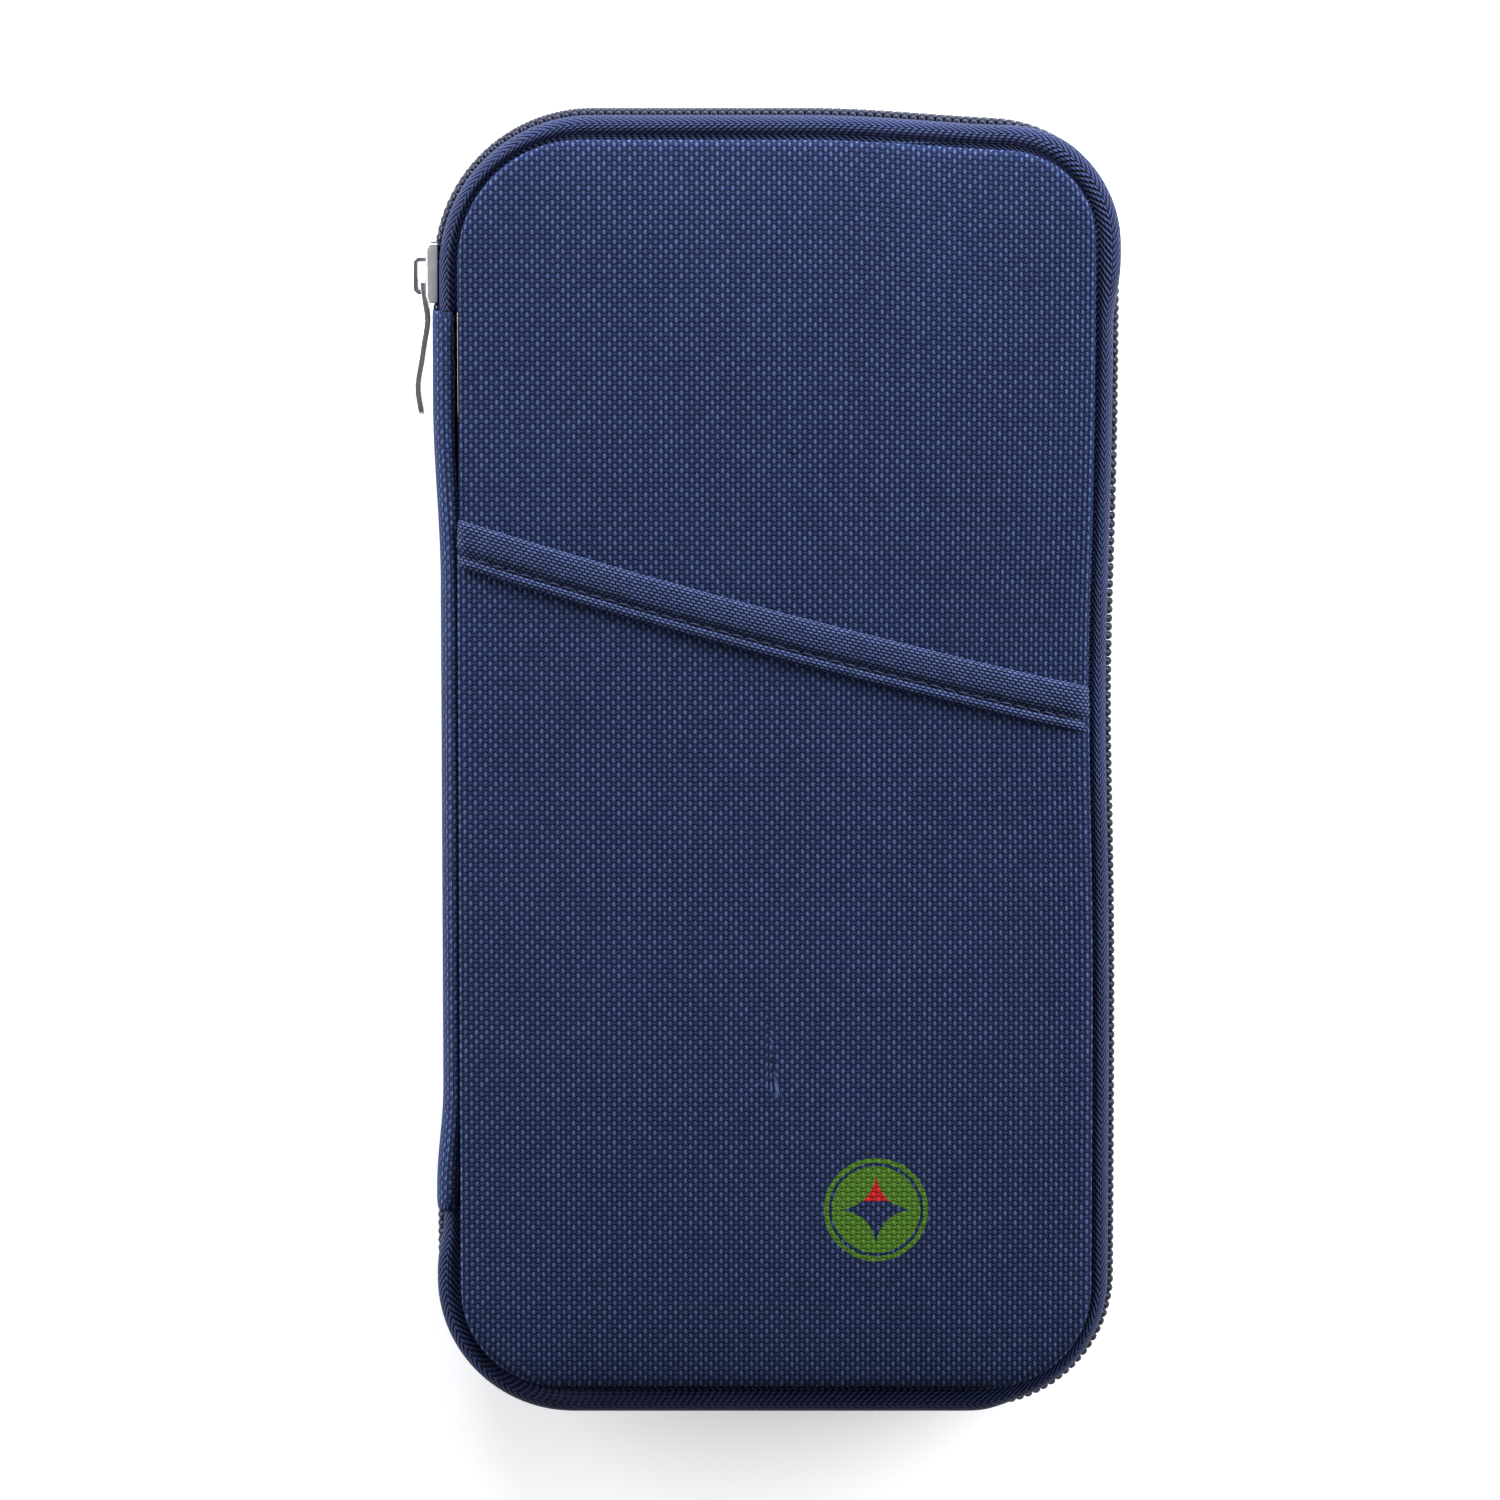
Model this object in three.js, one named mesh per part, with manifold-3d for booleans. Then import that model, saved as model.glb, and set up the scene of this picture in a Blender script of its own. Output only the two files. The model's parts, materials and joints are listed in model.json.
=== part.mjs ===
// Zip-around travel organiser: two padded covers joined by a spine, a coil zip
// round the wall, a slanted pocket on the front and flat pockets inside.
// Millimetres. X right, Y up the cover, Z out of the front cover.
// The back cover's outer face lies on z = 0, centred on the origin.
import * as THREE from 'three';
import { mergeVertices } from 'three/addons/utils/BufferGeometryUtils.js';
import Module from 'manifold-3d';

// ---- driving dimensions: the whole case ------------------------------------
const width = 125;            // over the zip coils, left to right
const height = 240;           // over the zip coils, foot to head
const thickness = 25;         // back face to the front pocket's binding
const cornerTL = 29;          // corner radii of the coil's outer line
const cornerTR = 23;
const cornerBR = 25;
const cornerBL = 25;
const coverMargin = 4.8;      // coil line in to the cover's side edge
const endMargin = 1.0;        // the head and foot margins are this much wider
const layerGap = 0.1;         // air between layers

// ---- driving dimensions: covers and front pocket ---------------------------
const fabricT = 0.7;          // outer fabric
const foamT = 1.4;            // padding of each cover
const boardT = 0.7;           // stiffener of each cover
const liningT = 0.5;          // lining of each cover
const rimExtra = 0.6;         // the fabric's rim reaches this far below the foam
const boardInset = 8.2;       // board and lining, in from the coil line
const pocketStep = 0.7;       // front pocket fabric above the cover fabric
const pocketFabricT = 0.6;
const bindingProud = 0.2;     // the pocket's binding above the pocket step
const mouthLeft = 0.335;      // pocket mouth at the left edge, share of half height
const mouthRight = 0.087;     // and at the right edge
const bindingW = 8.3;         // width of the pocket's binding
const bindingOver = 0.6;      // its ends reach past the pocket's edges

// ---- driving dimensions: main zip and spine --------------------------------
const tapeT = 0.7;            // main zip tape
const coilDeep = 2.0;         // coil, outside to tape
const coilHalf = 2.5;         // height of each coil half
const coilGap = 0.4;          // each coil half stays this far from mid plane
const zipHeld = 0.16;         // share of the first corner left free for the slider
const spineHead = 7.4;        // head corner's start down to the spine
const spineTail = 13;         // foot corner's start up to the spine
const spineIn = 1.3;          // spine face inside the coil's outer line
const foldR = 3.0;            // fold line below the spine and cover faces
const penShare = 0.2;         // pen loop's inside radius, share of the thickness
const penLoopT = 0.7;
const penFoot = -14;          // pen loop's lower and upper end
const penHead = 8;
const sliderLen = 10.9;       // main slider
const sliderW = 7.8;
const sliderPlateT = 0.8;
const sliderBelow = 1.0;      // slider's middle below the head corner's start
const pullLen = 24.7;         // pull tab
const pullW = 4.6;
const pullT = 0.9;

// ---- driving dimensions: inside --------------------------------------------
const pocketSide = 14.5;      // inner pockets, in from the wall on each side
const pocketEnd = 17;         // and in from the foot
const passportShare = 0.317;  // pocket depths as shares of the height
const ticketShare = 0.45;
const pocketBindW = 4.5;      // bindings of the inner pockets' mouths
const sideBindW = 3;          // bindings of their sides
const coinDeep = 3.0;         // room inside the zipped coin pocket
const coinClear = 8;          // coin pocket above the ticket pocket
const coinShellT = 0.7;
const coinSlotHalf = 4.4;     // half height of the slot under its zip
const coinPullLen = 18;
const cardSide = 17.5;        // card slots, in from the wall on each side
const cardFoot = 12;
const cardStep = 14;
const cardTiers = 4;
const cardPitch = 0.6;        // from one card slot's cloth to the next
const windowShare = 0.21;     // clear window's height, share of the height
const panelT = 0.5;           // lining cloth of the inner pockets

// ---- derived levels ----------------------------------------------------------
const halfW = width / 2;
const halfH = height / 2;
const midZ = thickness / 2;
const penR = penShare * thickness;
const coverFace = thickness - pocketStep - bindingProud;
const spineTop = halfH - cornerTL - spineHead;
const spineFoot = -(halfH - cornerBL - spineTail);
const sliderY = halfH - cornerTL - sliderBelow;
const pocketLeftY = mouthLeft * halfH;
const pocketRightY = mouthRight * halfH;
const passportW = width - 2 * pocketSide;
const passportH = passportShare * height;
const ticketH = ticketShare * height;
const cardW = width - 2 * cardSide;
const windowW = cardW - 10;
const windowH = windowShare * height;
const arcSteps = 9;

// ---- solids --------------------------------------------------------------------
const wasm = await Module();
wasm.setup();

function signedVolume(positions, faces) {
  const corner = (k) => new THREE.Vector3().fromArray(positions, faces[k] * 3);
  let volume = 0;
  for (let i = 0; i < faces.length; i += 3) {
    volume += corner(i).dot(corner(i + 1).cross(corner(i + 2)));
  }
  return volume / 6;
}

// Turns every triangle from index `from` on the other way round.
function turnFaces(faces, from) {
  for (let i = from; i < faces.length; i += 3) {
    [faces[i + 1], faces[i + 2]] = [faces[i + 2], faces[i + 1]];
  }
}

function toGeometry(positions, faces) {
  if (signedVolume(positions, faces) < 0) {
    turnFaces(faces, 0);
  }
  const geometry = new THREE.BufferGeometry();
  geometry.setAttribute('position', new THREE.Float32BufferAttribute(positions, 3));
  geometry.setIndex(faces);
  return geometry;
}

function toSolid(geometry) {
  const bare = geometry.clone();
  bare.deleteAttribute('normal');
  bare.deleteAttribute('uv');
  const merged = mergeVertices(bare, 1e-5);
  const mesh = new wasm.Mesh({
    numProp: 3,
    vertProperties: new Float32Array(merged.attributes.position.array),
    triVerts: new Uint32Array(merged.index.array),
  });
  return new wasm.Manifold(mesh);
}

function fromSolid(solid) {
  const mesh = solid.getMesh();
  const count = mesh.vertProperties.length / mesh.numProp;
  const positions = new Float32Array(count * 3);
  for (let i = 0; i < count; i++) {
    const start = i * mesh.numProp;
    positions.set(mesh.vertProperties.subarray(start, start + 3), i * 3);
  }
  const geometry = new THREE.BufferGeometry();
  geometry.setAttribute('position', new THREE.Float32BufferAttribute(positions, 3));
  geometry.setIndex([...mesh.triVerts]);
  return geometry;
}

function cut(body, ...tools) {
  return fromSolid(tools.reduce((solid, tool) => solid.subtract(toSolid(tool)), toSolid(body)));
}

function join(body, ...more) {
  return fromSolid(more.reduce((solid, other) => solid.add(toSolid(other)), toSolid(body)));
}

function box(x0, x1, y0, y1, z0, z1) {
  const geometry = new THREE.BoxGeometry(x1 - x0, y1 - y0, z1 - z0);
  geometry.translate((x0 + x1) / 2, (y0 + y1) / 2, (z0 + z1) / 2);
  return geometry;
}

const toVectors = (points) => points.map(([a, b]) => new THREE.Vector2(a, b));

// ---- the wall: one family of rounded rectangles ----------------------------------
const corners = {
  TL: { radius: cornerTL, right: 1, up: -1, start: 180, stop: 90 },
  TR: { radius: cornerTR, right: -1, up: -1, start: 90, stop: 0 },
  BR: { radius: cornerBR, right: -1, up: 1, start: 0, stop: -90 },
  BL: { radius: cornerBL, right: 1, up: 1, start: -90, stop: -180 },
};
const coilZone = 3;           // inside this inset the line keeps the coil's own corners
const coverZone = 6;          // from here on the corners tighten slowly

// The point at `share` of a corner's arc on the line that lies `inset` inside the coil.
function cornerPoint(inset, name, share) {
  const { radius, right, up, start, stop } = corners[name];
  const beyond = Math.min(Math.max(inset - coilZone, 0), coverMargin - coilZone);
  const insetY = inset + (endMargin * beyond) / (coverMargin - coilZone);
  const middle = Math.min(Math.max(inset - coilZone, 0), coverZone - coilZone);
  const shrink = Math.min(inset, coilZone) + 2.2 * middle + 0.6 * Math.max(inset - coverZone, 0);
  const r = Math.max(radius - shrink, 3);
  const centreX = right * (r - halfW + inset);
  const centreY = up * (r - halfH + insetY);
  const angle = THREE.MathUtils.degToRad(start + (stop - start) * share);
  return [centreX + r * Math.cos(angle), centreY + r * Math.sin(angle)];
}

// Stations clockwise from the left wall: each gives its point at an inset. An open
// line runs between the heights `from` and `to` on that wall, or starts at a share
// of the first corner.
function wallStations({ closed = false, from = spineTop, to = spineFoot, startShare = 0 } = {}) {
  const stations = [];
  if (!closed && startShare === 0) {
    stations.push((inset) => [-halfW + inset, from]);
  }
  for (const name of Object.keys(corners)) {
    const first = name === 'TL' ? startShare : 0;
    for (let k = 0; k <= arcSteps; k++) {
      const share = first + (1 - first) * (k / arcSteps);
      stations.push((inset) => cornerPoint(inset, name, share));
    }
  }
  if (!closed) {
    stations.push((inset) => [-halfW + inset, to]);
  }
  return stations;
}

// The quads between rows of n points each, as triangles.
function joinRows(rows, n) {
  const faces = [];
  for (let row = 0; row + 1 < rows; row++) {
    for (let j = 0; j < n; j++) {
      const a = row * n + j;
      const b = row * n + ((j + 1) % n);
      faces.push(a, b, b + n, a, b + n, a + n);
    }
  }
  return faces;
}

// Rings of the closed wall line stacked by [inset, z]; both ends are capped.
function stack(rings) {
  const stations = wallStations({ closed: true });
  const n = stations.length;
  const positions = [];
  for (const [inset, z] of rings) {
    for (const station of stations) {
      positions.push(...station(inset), z);
    }
  }
  const faces = joinRows(rings.length, n);
  for (const row of [0, rings.length - 1]) {
    const first = row * n;
    const middle = positions.length / 3;
    let sumX = 0;
    let sumY = 0;
    for (let j = first; j < first + n; j++) {
      sumX += positions[j * 3];
      sumY += positions[j * 3 + 1];
    }
    positions.push(sumX / n, sumY / n, rings[row][1]);
    for (let j = 0; j < n; j++) {
      const a = first + j;
      const b = first + ((j + 1) % n);
      faces.push(middle, row === 0 ? b : a, row === 0 ? a : b);
    }
  }
  return toGeometry(positions, faces);
}

// Rows of one profile's points, with its ends capped to match the sides.
function capped(positions, profile, rows) {
  const n = profile.length;
  const faces = joinRows(rows, n);
  const sides = faces.length;
  const used = new Set();
  for (let i = 0; i < sides; i += 3) {
    for (let k = 0; k < 3; k++) {
      used.add(`${faces[i + k]} ${faces[i + ((k + 1) % 3)]}`);
    }
  }
  const last = (rows - 1) * n;
  for (const [a, b, c] of THREE.ShapeUtils.triangulateShape(toVectors(profile), [])) {
    faces.push(a, c, b, last + a, last + b, last + c);
  }
  let clashes = 0;
  for (let i = sides; i < faces.length; i += 3) {
    for (let k = 0; k < 3; k++) {
      const a = faces[i + k];
      const b = faces[i + ((k + 1) % 3)];
      clashes += used.has(`${a} ${b}`) ? 1 : 0;
      clashes -= used.has(`${b} ${a}`) ? 1 : 0;
    }
  }
  if (clashes > 0) {
    turnFaces(faces, sides);
  }
  return toGeometry(positions, faces);
}

// A closed profile of [inset, z] swept along the open wall line.
function sweep(profile, options) {
  const stations = wallStations(options);
  const positions = [];
  for (const station of stations) {
    for (const [inset, z] of profile) {
      positions.push(...station(inset), z);
    }
  }
  return capped(positions, profile, stations.length);
}

// A strip of even thickness round a centre line of [inset, z].
function ribbon(line, t) {
  const upper = [];
  const lower = [];
  line.forEach((point, i) => {
    const before = line[Math.max(i - 1, 0)];
    const after = line[Math.min(i + 1, line.length - 1)];
    const dx = after[0] - before[0];
    const dz = after[1] - before[1];
    const offX = (-dz / Math.hypot(dx, dz)) * (t / 2);
    const offZ = (dx / Math.hypot(dx, dz)) * (t / 2);
    upper.push([point[0] + offX, point[1] + offZ]);
    lower.push([point[0] - offX, point[1] - offZ]);
  });
  return [...upper, ...lower.reverse()];
}

// The same profile on the back half.
const flip = (profile) => profile.map(([inset, z]) => [inset, thickness - z]);

// ---- flat plates and prisms --------------------------------------------------------
// A flat plate with rounded corners.
function plate(x0, x1, y0, y1, r, z0, z1) {
  const turn = Math.PI / 2;
  const shape = new THREE.Shape();
  shape.moveTo(x0 + r, y0);
  shape.absarc(x1 - r, y0 + r, r, -turn, 0, false);
  shape.absarc(x1 - r, y1 - r, r, 0, turn, false);
  shape.absarc(x0 + r, y1 - r, r, turn, 2 * turn, false);
  shape.absarc(x0 + r, y0 + r, r, 2 * turn, 3 * turn, false);
  const settings = { depth: z1 - z0, bevelEnabled: false, curveSegments: 4 };
  const geometry = new THREE.ExtrudeGeometry(shape, settings);
  geometry.translate(0, 0, z0);
  return geometry;
}

// A profile in the X-Y plane raised in Z.
function prism(points, z0, z1) {
  const shape = new THREE.Shape(toVectors(points));
  const geometry = new THREE.ExtrudeGeometry(shape, { depth: z1 - z0, bevelEnabled: false });
  geometry.translate(0, 0, z0);
  return geometry;
}

// A profile in the X-Z plane run in Y.
function runY(points, y0, y1, holes = []) {
  const shape = new THREE.Shape(toVectors(points));
  for (const hole of holes) {
    shape.holes.push(new THREE.Path(toVectors(hole)));
  }
  const geometry = new THREE.ExtrudeGeometry(shape, { depth: y1 - y0, bevelEnabled: false });
  geometry.rotateX(Math.PI / 2);
  geometry.translate(0, y1, 0);
  return geometry;
}

// A profile in the Y-Z plane run in X.
function runX(points, x0, x1, holes = []) {
  const shape = new THREE.Shape(toVectors(points));
  for (const hole of holes) {
    shape.holes.push(new THREE.Path(toVectors(hole)));
  }
  const geometry = new THREE.ExtrudeGeometry(shape, { depth: x1 - x0, bevelEnabled: false });
  const turned = new THREE.Matrix4().set(0, 0, 1, 0, 1, 0, 0, 0, 0, 1, 0, 0, 0, 0, 0, 1);
  geometry.applyMatrix4(turned);
  geometry.translate(x0, 0, 0);
  return geometry;
}

// ---- materials and nodes -------------------------------------------------------------
// Colour, roughness and metalness of each material.
const looks = {
  oxford: [0x2f3a63, 0.75, 0],
  binding: [0x35416d, 0.8, 0],
  foam: [0xd8d6cf, 0.95, 0],
  board: [0x8b8f94, 0.7, 0],
  lining: [0x2a3253, 0.85, 0],
  tape: [0x1c2036, 0.7, 0],
  coil: [0x14182b, 0.35, 0],
  metal: [0xb9babf, 0.25, 1],
  film: [0xdfe6ea, 0.15, 0],
  elastic: [0x14161f, 0.85, 0],
};
const group = new THREE.Group();
group.name = 'passport_holder';

function add(name, geometry, look) {
  const [color, roughness, metalness] = looks[look];
  const material = new THREE.MeshStandardMaterial({ color, roughness, metalness });
  material.name = look;
  if (look === 'film') {
    material.transparent = true;
    material.opacity = 0.35;
  }
  const mesh = new THREE.Mesh(geometry, material);
  mesh.name = name;
  group.add(mesh);
}

// ---- covers: fabric tray, foam, board, lining ------------------------------------------
const rimDepth = fabricT + foamT + rimExtra;
const foamDepth = fabricT + layerGap;
const boardDepth = foamDepth + foamT + layerGap;
const liningDepth = boardDepth + boardT + layerGap;
const coverDepth = liningDepth + liningT;

// `side` is 1 where the layers go down from the face and -1 where they go up.
function addCover(prefix, face, side) {
  const level = (depth) => face - side * depth;
  const edge = coverMargin;
  add(`${prefix}_cover_fabric`, stack([
    [edge + 3.0, level(0)],
    [edge + 1.2, level(0.12)],
    [edge + 0.3, level(0.7)],
    [edge, level(1.6)],
    [edge, level(rimDepth)],
    [edge + fabricT, level(rimDepth)],
    [edge + fabricT, level(1.7)],
    [edge + 1.0, level(1.1)],
    [edge + 1.7, level(fabricT + 0.05)],
    [edge + 3.2, level(fabricT)],
  ]), 'oxford');
  add(`${prefix}_foam_pad`, stack([
    [edge + 3.4, level(foamDepth)],
    [edge + 2.0, level(foamDepth + 0.4)],
    [edge + 1.6, level(foamDepth + 0.9)],
    [edge + 1.6, level(foamDepth + foamT)],
  ]), 'foam');
  add(`${prefix}_stiffener_board`, stack([
    [boardInset, level(boardDepth)],
    [boardInset, level(boardDepth + boardT)],
  ]), 'board');
  const liningLow = Math.min(level(liningDepth), level(coverDepth));
  const liningHigh = Math.max(level(liningDepth), level(coverDepth));
  const sheet = stack([[boardInset, liningLow], [boardInset, liningHigh]]);
  const tongueIn = -halfW + 12;
  const tongue = box(-halfW + 6, tongueIn, spineFoot + 2, spineTop - 2, liningLow, liningHigh);
  add(`${prefix}_lining`, join(sheet, tongue), 'lining');
}

addCover('front', coverFace, 1);
addCover('back', 0, -1);
const frontInner = coverFace - coverDepth;
const backInner = coverDepth;

// ---- front pocket ---------------------------------------------------------------------------
const pocketInset = coverMargin + 1.3;
const pocketLow = coverFace + layerGap;
const pocketHigh = pocketLow + pocketFabricT;
const edgeL = -halfW + pocketInset;
const edgeR = halfW - pocketInset;

function mouthY(x) {
  return pocketLeftY + ((pocketRightY - pocketLeftY) * (x - edgeL)) / (edgeR - edgeL);
}

function addFrontPocket() {
  const cloth = stack([
    [pocketInset, pocketLow],
    [pocketInset, pocketHigh - 0.25],
    [pocketInset + 0.9, pocketHigh],
  ]);
  const below = bindingW / 2 + 0.45;
  const above = prism([
    [-halfW, mouthY(-halfW) - below],
    [halfW, mouthY(halfW) - below],
    [halfW, halfH],
    [-halfW, halfH],
  ], 0, 2 * thickness);
  add('front_pocket_panel', cut(cloth, above), 'oxford');
}

function addPocketBinding() {
  const half = bindingW / 2;
  const profile = [
    [-half, pocketLow],
    [half, pocketLow],
    [half, pocketLow + 0.35],
    [half - 1.0, thickness - 0.02],
    [1.2, thickness],
    [-half + 2.9, thickness - 0.15],
    [-half + 2.3, thickness - 0.45],
    [-half + 1.7, thickness - 0.15],
    [-half + 0.5, thickness - 0.25],
    [-half, pocketLow + 0.35],
  ];
  const run = new THREE.Vector2(edgeR - edgeL, pocketRightY - pocketLeftY);
  const length = run.length();
  run.normalize();
  const positions = [];
  for (const along of [-bindingOver, length + bindingOver]) {
    for (const [across, z] of profile) {
      const x = edgeL + run.x * along - run.y * across;
      const y = pocketLeftY + run.y * along + run.x * across;
      positions.push(x, y, z);
    }
  }
  add('front_pocket_binding', capped(positions, profile, 2), 'binding');
}

addFrontPocket();
addPocketBinding();

// ---- main zip ------------------------------------------------------------------------------
const seamZ = coverFace - rimDepth - layerGap - tapeT / 2;
const slotZ = midZ + sliderW / 2 + 0.3;
const fall = seamZ - slotZ;
const tapeProfile = ribbon([
  [7.6, seamZ],
  [4.6, seamZ],
  [3.2, seamZ - 0.1 * fall],
  [2.1, seamZ - 0.35 * fall],
  [1.65, seamZ - 0.7 * fall],
  [1.95, slotZ + 0.12 * fall],
  [2.5, slotZ],
  [2.5, midZ + coilGap + 0.15],
], tapeT);

function coilProfile() {
  const sides = 10;
  const middle = midZ + coilGap + coilHalf / 2;
  const points = [];
  for (let k = 0; k < sides; k++) {
    const angle = ((k + 0.5) / sides) * 2 * Math.PI;
    const inset = (coilDeep / 2) * (1 - 1.05 * Math.cos(angle));
    points.push([inset, middle + 1.05 * (coilHalf / 2) * Math.sin(angle)]);
  }
  return points;
}

const zipRun = { startShare: zipHeld, to: spineFoot - 0.5 };
add('front_zip_tape', sweep(tapeProfile, zipRun), 'tape');
add('back_zip_tape', sweep(flip(tapeProfile), zipRun), 'tape');
add('front_zip_coil', sweep(coilProfile(), zipRun), 'coil');
add('back_zip_coil', sweep(flip(coilProfile()), zipRun), 'coil');

const bindTop = seamZ - tapeT / 2 - layerGap;
const bindUnder = frontInner - layerGap;
const innerBinding = [
  [4.9, bindTop],
  [5.8, bindTop],
  [5.8, bindUnder],
  [8.4, bindUnder],
  [8.2, bindUnder - 0.5],
  [5.4, bindUnder - 0.6],
  [4.9, bindTop - 0.7],
];
const bindRun = { from: spineTop + 1, to: spineFoot - 1 };
add('front_inner_binding', sweep(innerBinding, bindRun), 'binding');
add('back_inner_binding', sweep(flip(innerBinding), bindRun), 'binding');

// ---- spine ------------------------------------------------------------------------------------
const spineX = -halfW + spineIn;
const spineLow = foldR + 0.1;
const spineHigh = thickness - foldR - 0.1;
const spineProfile = [
  [spineX + 0.25, spineLow],
  [spineX + fabricT + 0.2, spineLow],
  [spineX + fabricT, spineLow + 2],
  [spineX + fabricT, spineHigh - 2],
  [spineX + fabricT + 0.2, spineHigh],
  [spineX + 0.25, spineHigh],
  [spineX, spineHigh - 2],
  [spineX, spineLow + 2],
];
const spineBoard = spineX + 1.0;
const spineCloth = spineX + 1.7;
const penX = spineX + 2.3 + penLoopT + penR;

function circle(centreX, centreZ, radius) {
  const sides = 24;
  const points = [];
  for (let k = 0; k < sides; k++) {
    const angle = (k / sides) * 2 * Math.PI;
    points.push([centreX + radius * Math.cos(angle), centreZ + radius * Math.sin(angle)]);
  }
  return points;
}

add('spine_fabric', runY(spineProfile, spineFoot, spineTop), 'oxford');
add('spine_stiffener', box(spineBoard, spineBoard + 0.6, spineFoot + 2, spineTop - 2,
  spineLow + 0.6, spineHigh - 0.6), 'board');
add('spine_lining', box(spineCloth, spineCloth + 0.5, spineFoot + 0.5, spineTop - 0.5,
  spineLow + 0.2, spineHigh - 0.2), 'lining');
add('pen_loop', runY(circle(penX, midZ, penR + penLoopT), penFoot, penHead,
  [circle(penX, midZ, penR).reverse()]), 'elastic');

// ---- main slider ----------------------------------------------------------------------------------
const plateIn = -halfW - 0.35;
const plateOut = plateIn - sliderPlateT;
const sliderLow = sliderY - sliderLen / 2;
const sliderHigh = sliderY + sliderLen / 2;
const sliderNear = midZ - sliderW / 2;
const sliderFar = midZ + sliderW / 2;
const flangeT = 0.7;
const keelX = -halfW + 3.6;

function addSliderBody() {
  const outerPlate = prism([
    [plateOut, sliderLow + 1.2],
    [plateOut, sliderHigh - 1.2],
    [plateOut + 0.5, sliderHigh],
    [plateIn, sliderHigh],
    [plateIn, sliderLow],
    [plateOut + 0.5, sliderLow],
  ], sliderNear, sliderFar);
  const lip = plateIn - 0.3;
  const lipEnd = -halfW + 1.0;
  const backFlange = box(lip, lipEnd, sliderLow, sliderHigh, sliderNear, sliderNear + flangeT);
  const frontFlange = box(lip, lipEnd, sliderLow, sliderHigh, sliderFar - flangeT, sliderFar);
  const keel = box(keelX, keelX + 0.7, sliderY - 3.9, sliderY + 3.6, sliderNear, sliderFar);
  const post = box(plateIn - 0.1, keelX + 0.1, sliderY - 3.9, sliderY - 1.6, midZ - 0.25, midZ + 0.25);
  add('slider_body', join(outerPlate, backFlange, frontFlange, keel, post), 'metal');
}

const crownLow = sliderY - 4;
const crownHigh = sliderY + 3;
const crownOut = plateOut - 2.6;
const crownHalf = 1.1;

function addSliderCrown() {
  const foot = plateOut - 0.01;
  add('slider_crown', prism([
    [foot, crownLow],
    [crownOut + 0.9, crownLow],
    [crownOut, crownLow + 0.9],
    [crownOut, crownHigh - 0.9],
    [crownOut + 0.9, crownHigh],
    [foot, crownHigh],
    [foot, crownHigh - 1],
    [crownOut + 1.0, crownHigh - 1],
    [crownOut + 1.0, crownLow + 1],
    [foot, crownLow + 1],
  ], midZ - crownHalf, midZ + crownHalf), 'metal');
}

const pullX = plateOut - 0.8;
const pullTop = crownLow + 2.9;

function addPullTab() {
  const foot = pullTop - pullLen;
  const half = pullW / 2;
  const waist = half - 0.3;
  const side = [
    [foot + 1.4, waist],
    [pullTop - 5.2, waist],
    [pullTop - 4.4, half],
    [pullTop - 0.6, half],
    [pullTop, half - 0.6],
  ];
  const tip = [[foot, 0.5], [foot + 0.4, half - 0.9]];
  const mirrored = (points) => points.map(([y, z]) => [y, -z]);
  const outline = [...mirrored(side), ...[...side].reverse(), ...[...tip].reverse(), ...mirrored(tip)];
  const eyeLow = pullTop - 3.6;
  const eyeHigh = pullTop - 1.0;
  const eye = [[eyeLow, -1.45], [eyeLow, 1.45], [eyeHigh, 1.45], [eyeHigh, -1.45]];
  const tab = runX(outline, pullX - pullT / 2, pullX + pullT / 2, [eye]);
  tab.translate(0, 0, midZ);
  add('pull_tab', tab, 'metal');
}

addSliderBody();
addSliderCrown();
addPullTab();

// ---- inside the back cover: document pockets ---------------------------------------------------------
const pocketL = -passportW / 2;
const pocketR = passportW / 2;
const pocketFoot = -halfH + pocketEnd;
const ticketTop = pocketFoot + ticketH;
const passportTop = pocketFoot + passportH;
const backFloor = backInner + layerGap;
const tier = panelT + layerGap;
const bindHigh = ticketTop + pocketBindW;
const bindT = backFloor + 1.5;
const bindStep = 0.1;
add('ticket_pocket_panel', plate(pocketL, pocketR, pocketFoot, ticketTop - bindStep, 1.5,
  backFloor, backFloor + panelT), 'lining');
add('ticket_pocket_binding', plate(pocketL, pocketR, ticketTop, bindHigh, 0.8,
  backFloor, backFloor + 1.1), 'binding');
add('passport_pocket_panel', plate(pocketL, pocketR, pocketFoot, passportTop - bindStep, 1.5,
  backFloor + tier, backFloor + tier + panelT), 'lining');
add('passport_pocket_binding', plate(pocketL, pocketR, passportTop, passportTop + pocketBindW, 0.8,
  backFloor + tier, bindT), 'binding');
add('pocket_side_binding_left', plate(pocketL - sideBindW - bindStep, pocketL - bindStep,
  pocketFoot, bindHigh, 0.6, backFloor, bindT), 'binding');
add('pocket_side_binding_right', plate(pocketR + bindStep, pocketR + sideBindW + bindStep,
  pocketFoot, bindHigh, 0.6, backFloor, bindT), 'binding');

// ---- inside the back cover: zipped coin pocket ----------------------------------------------------------
const coinL = pocketL + 2;
const coinR = pocketR + 2;
const coinFoot = ticketTop + coinClear;
const coinHead = halfH - 15;
const coinTop = backFloor + coinDeep + coinShellT;
const coinZipY = coinHead - 19;
const slotL = coinL + 8;
const slotR = coinR - 8;
const coinCoilGap = 0.4;
const coinTapeLow = coinTop + layerGap;
const coinTapeHigh = coinTapeLow + 0.5;
const coinCoilLow = coinTapeHigh + layerGap;
const coinCoilHigh = coinCoilLow + 1.2;
const coinCoilL = slotL + 2.5;
const coinCoilR = slotR - 2.5;

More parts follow.
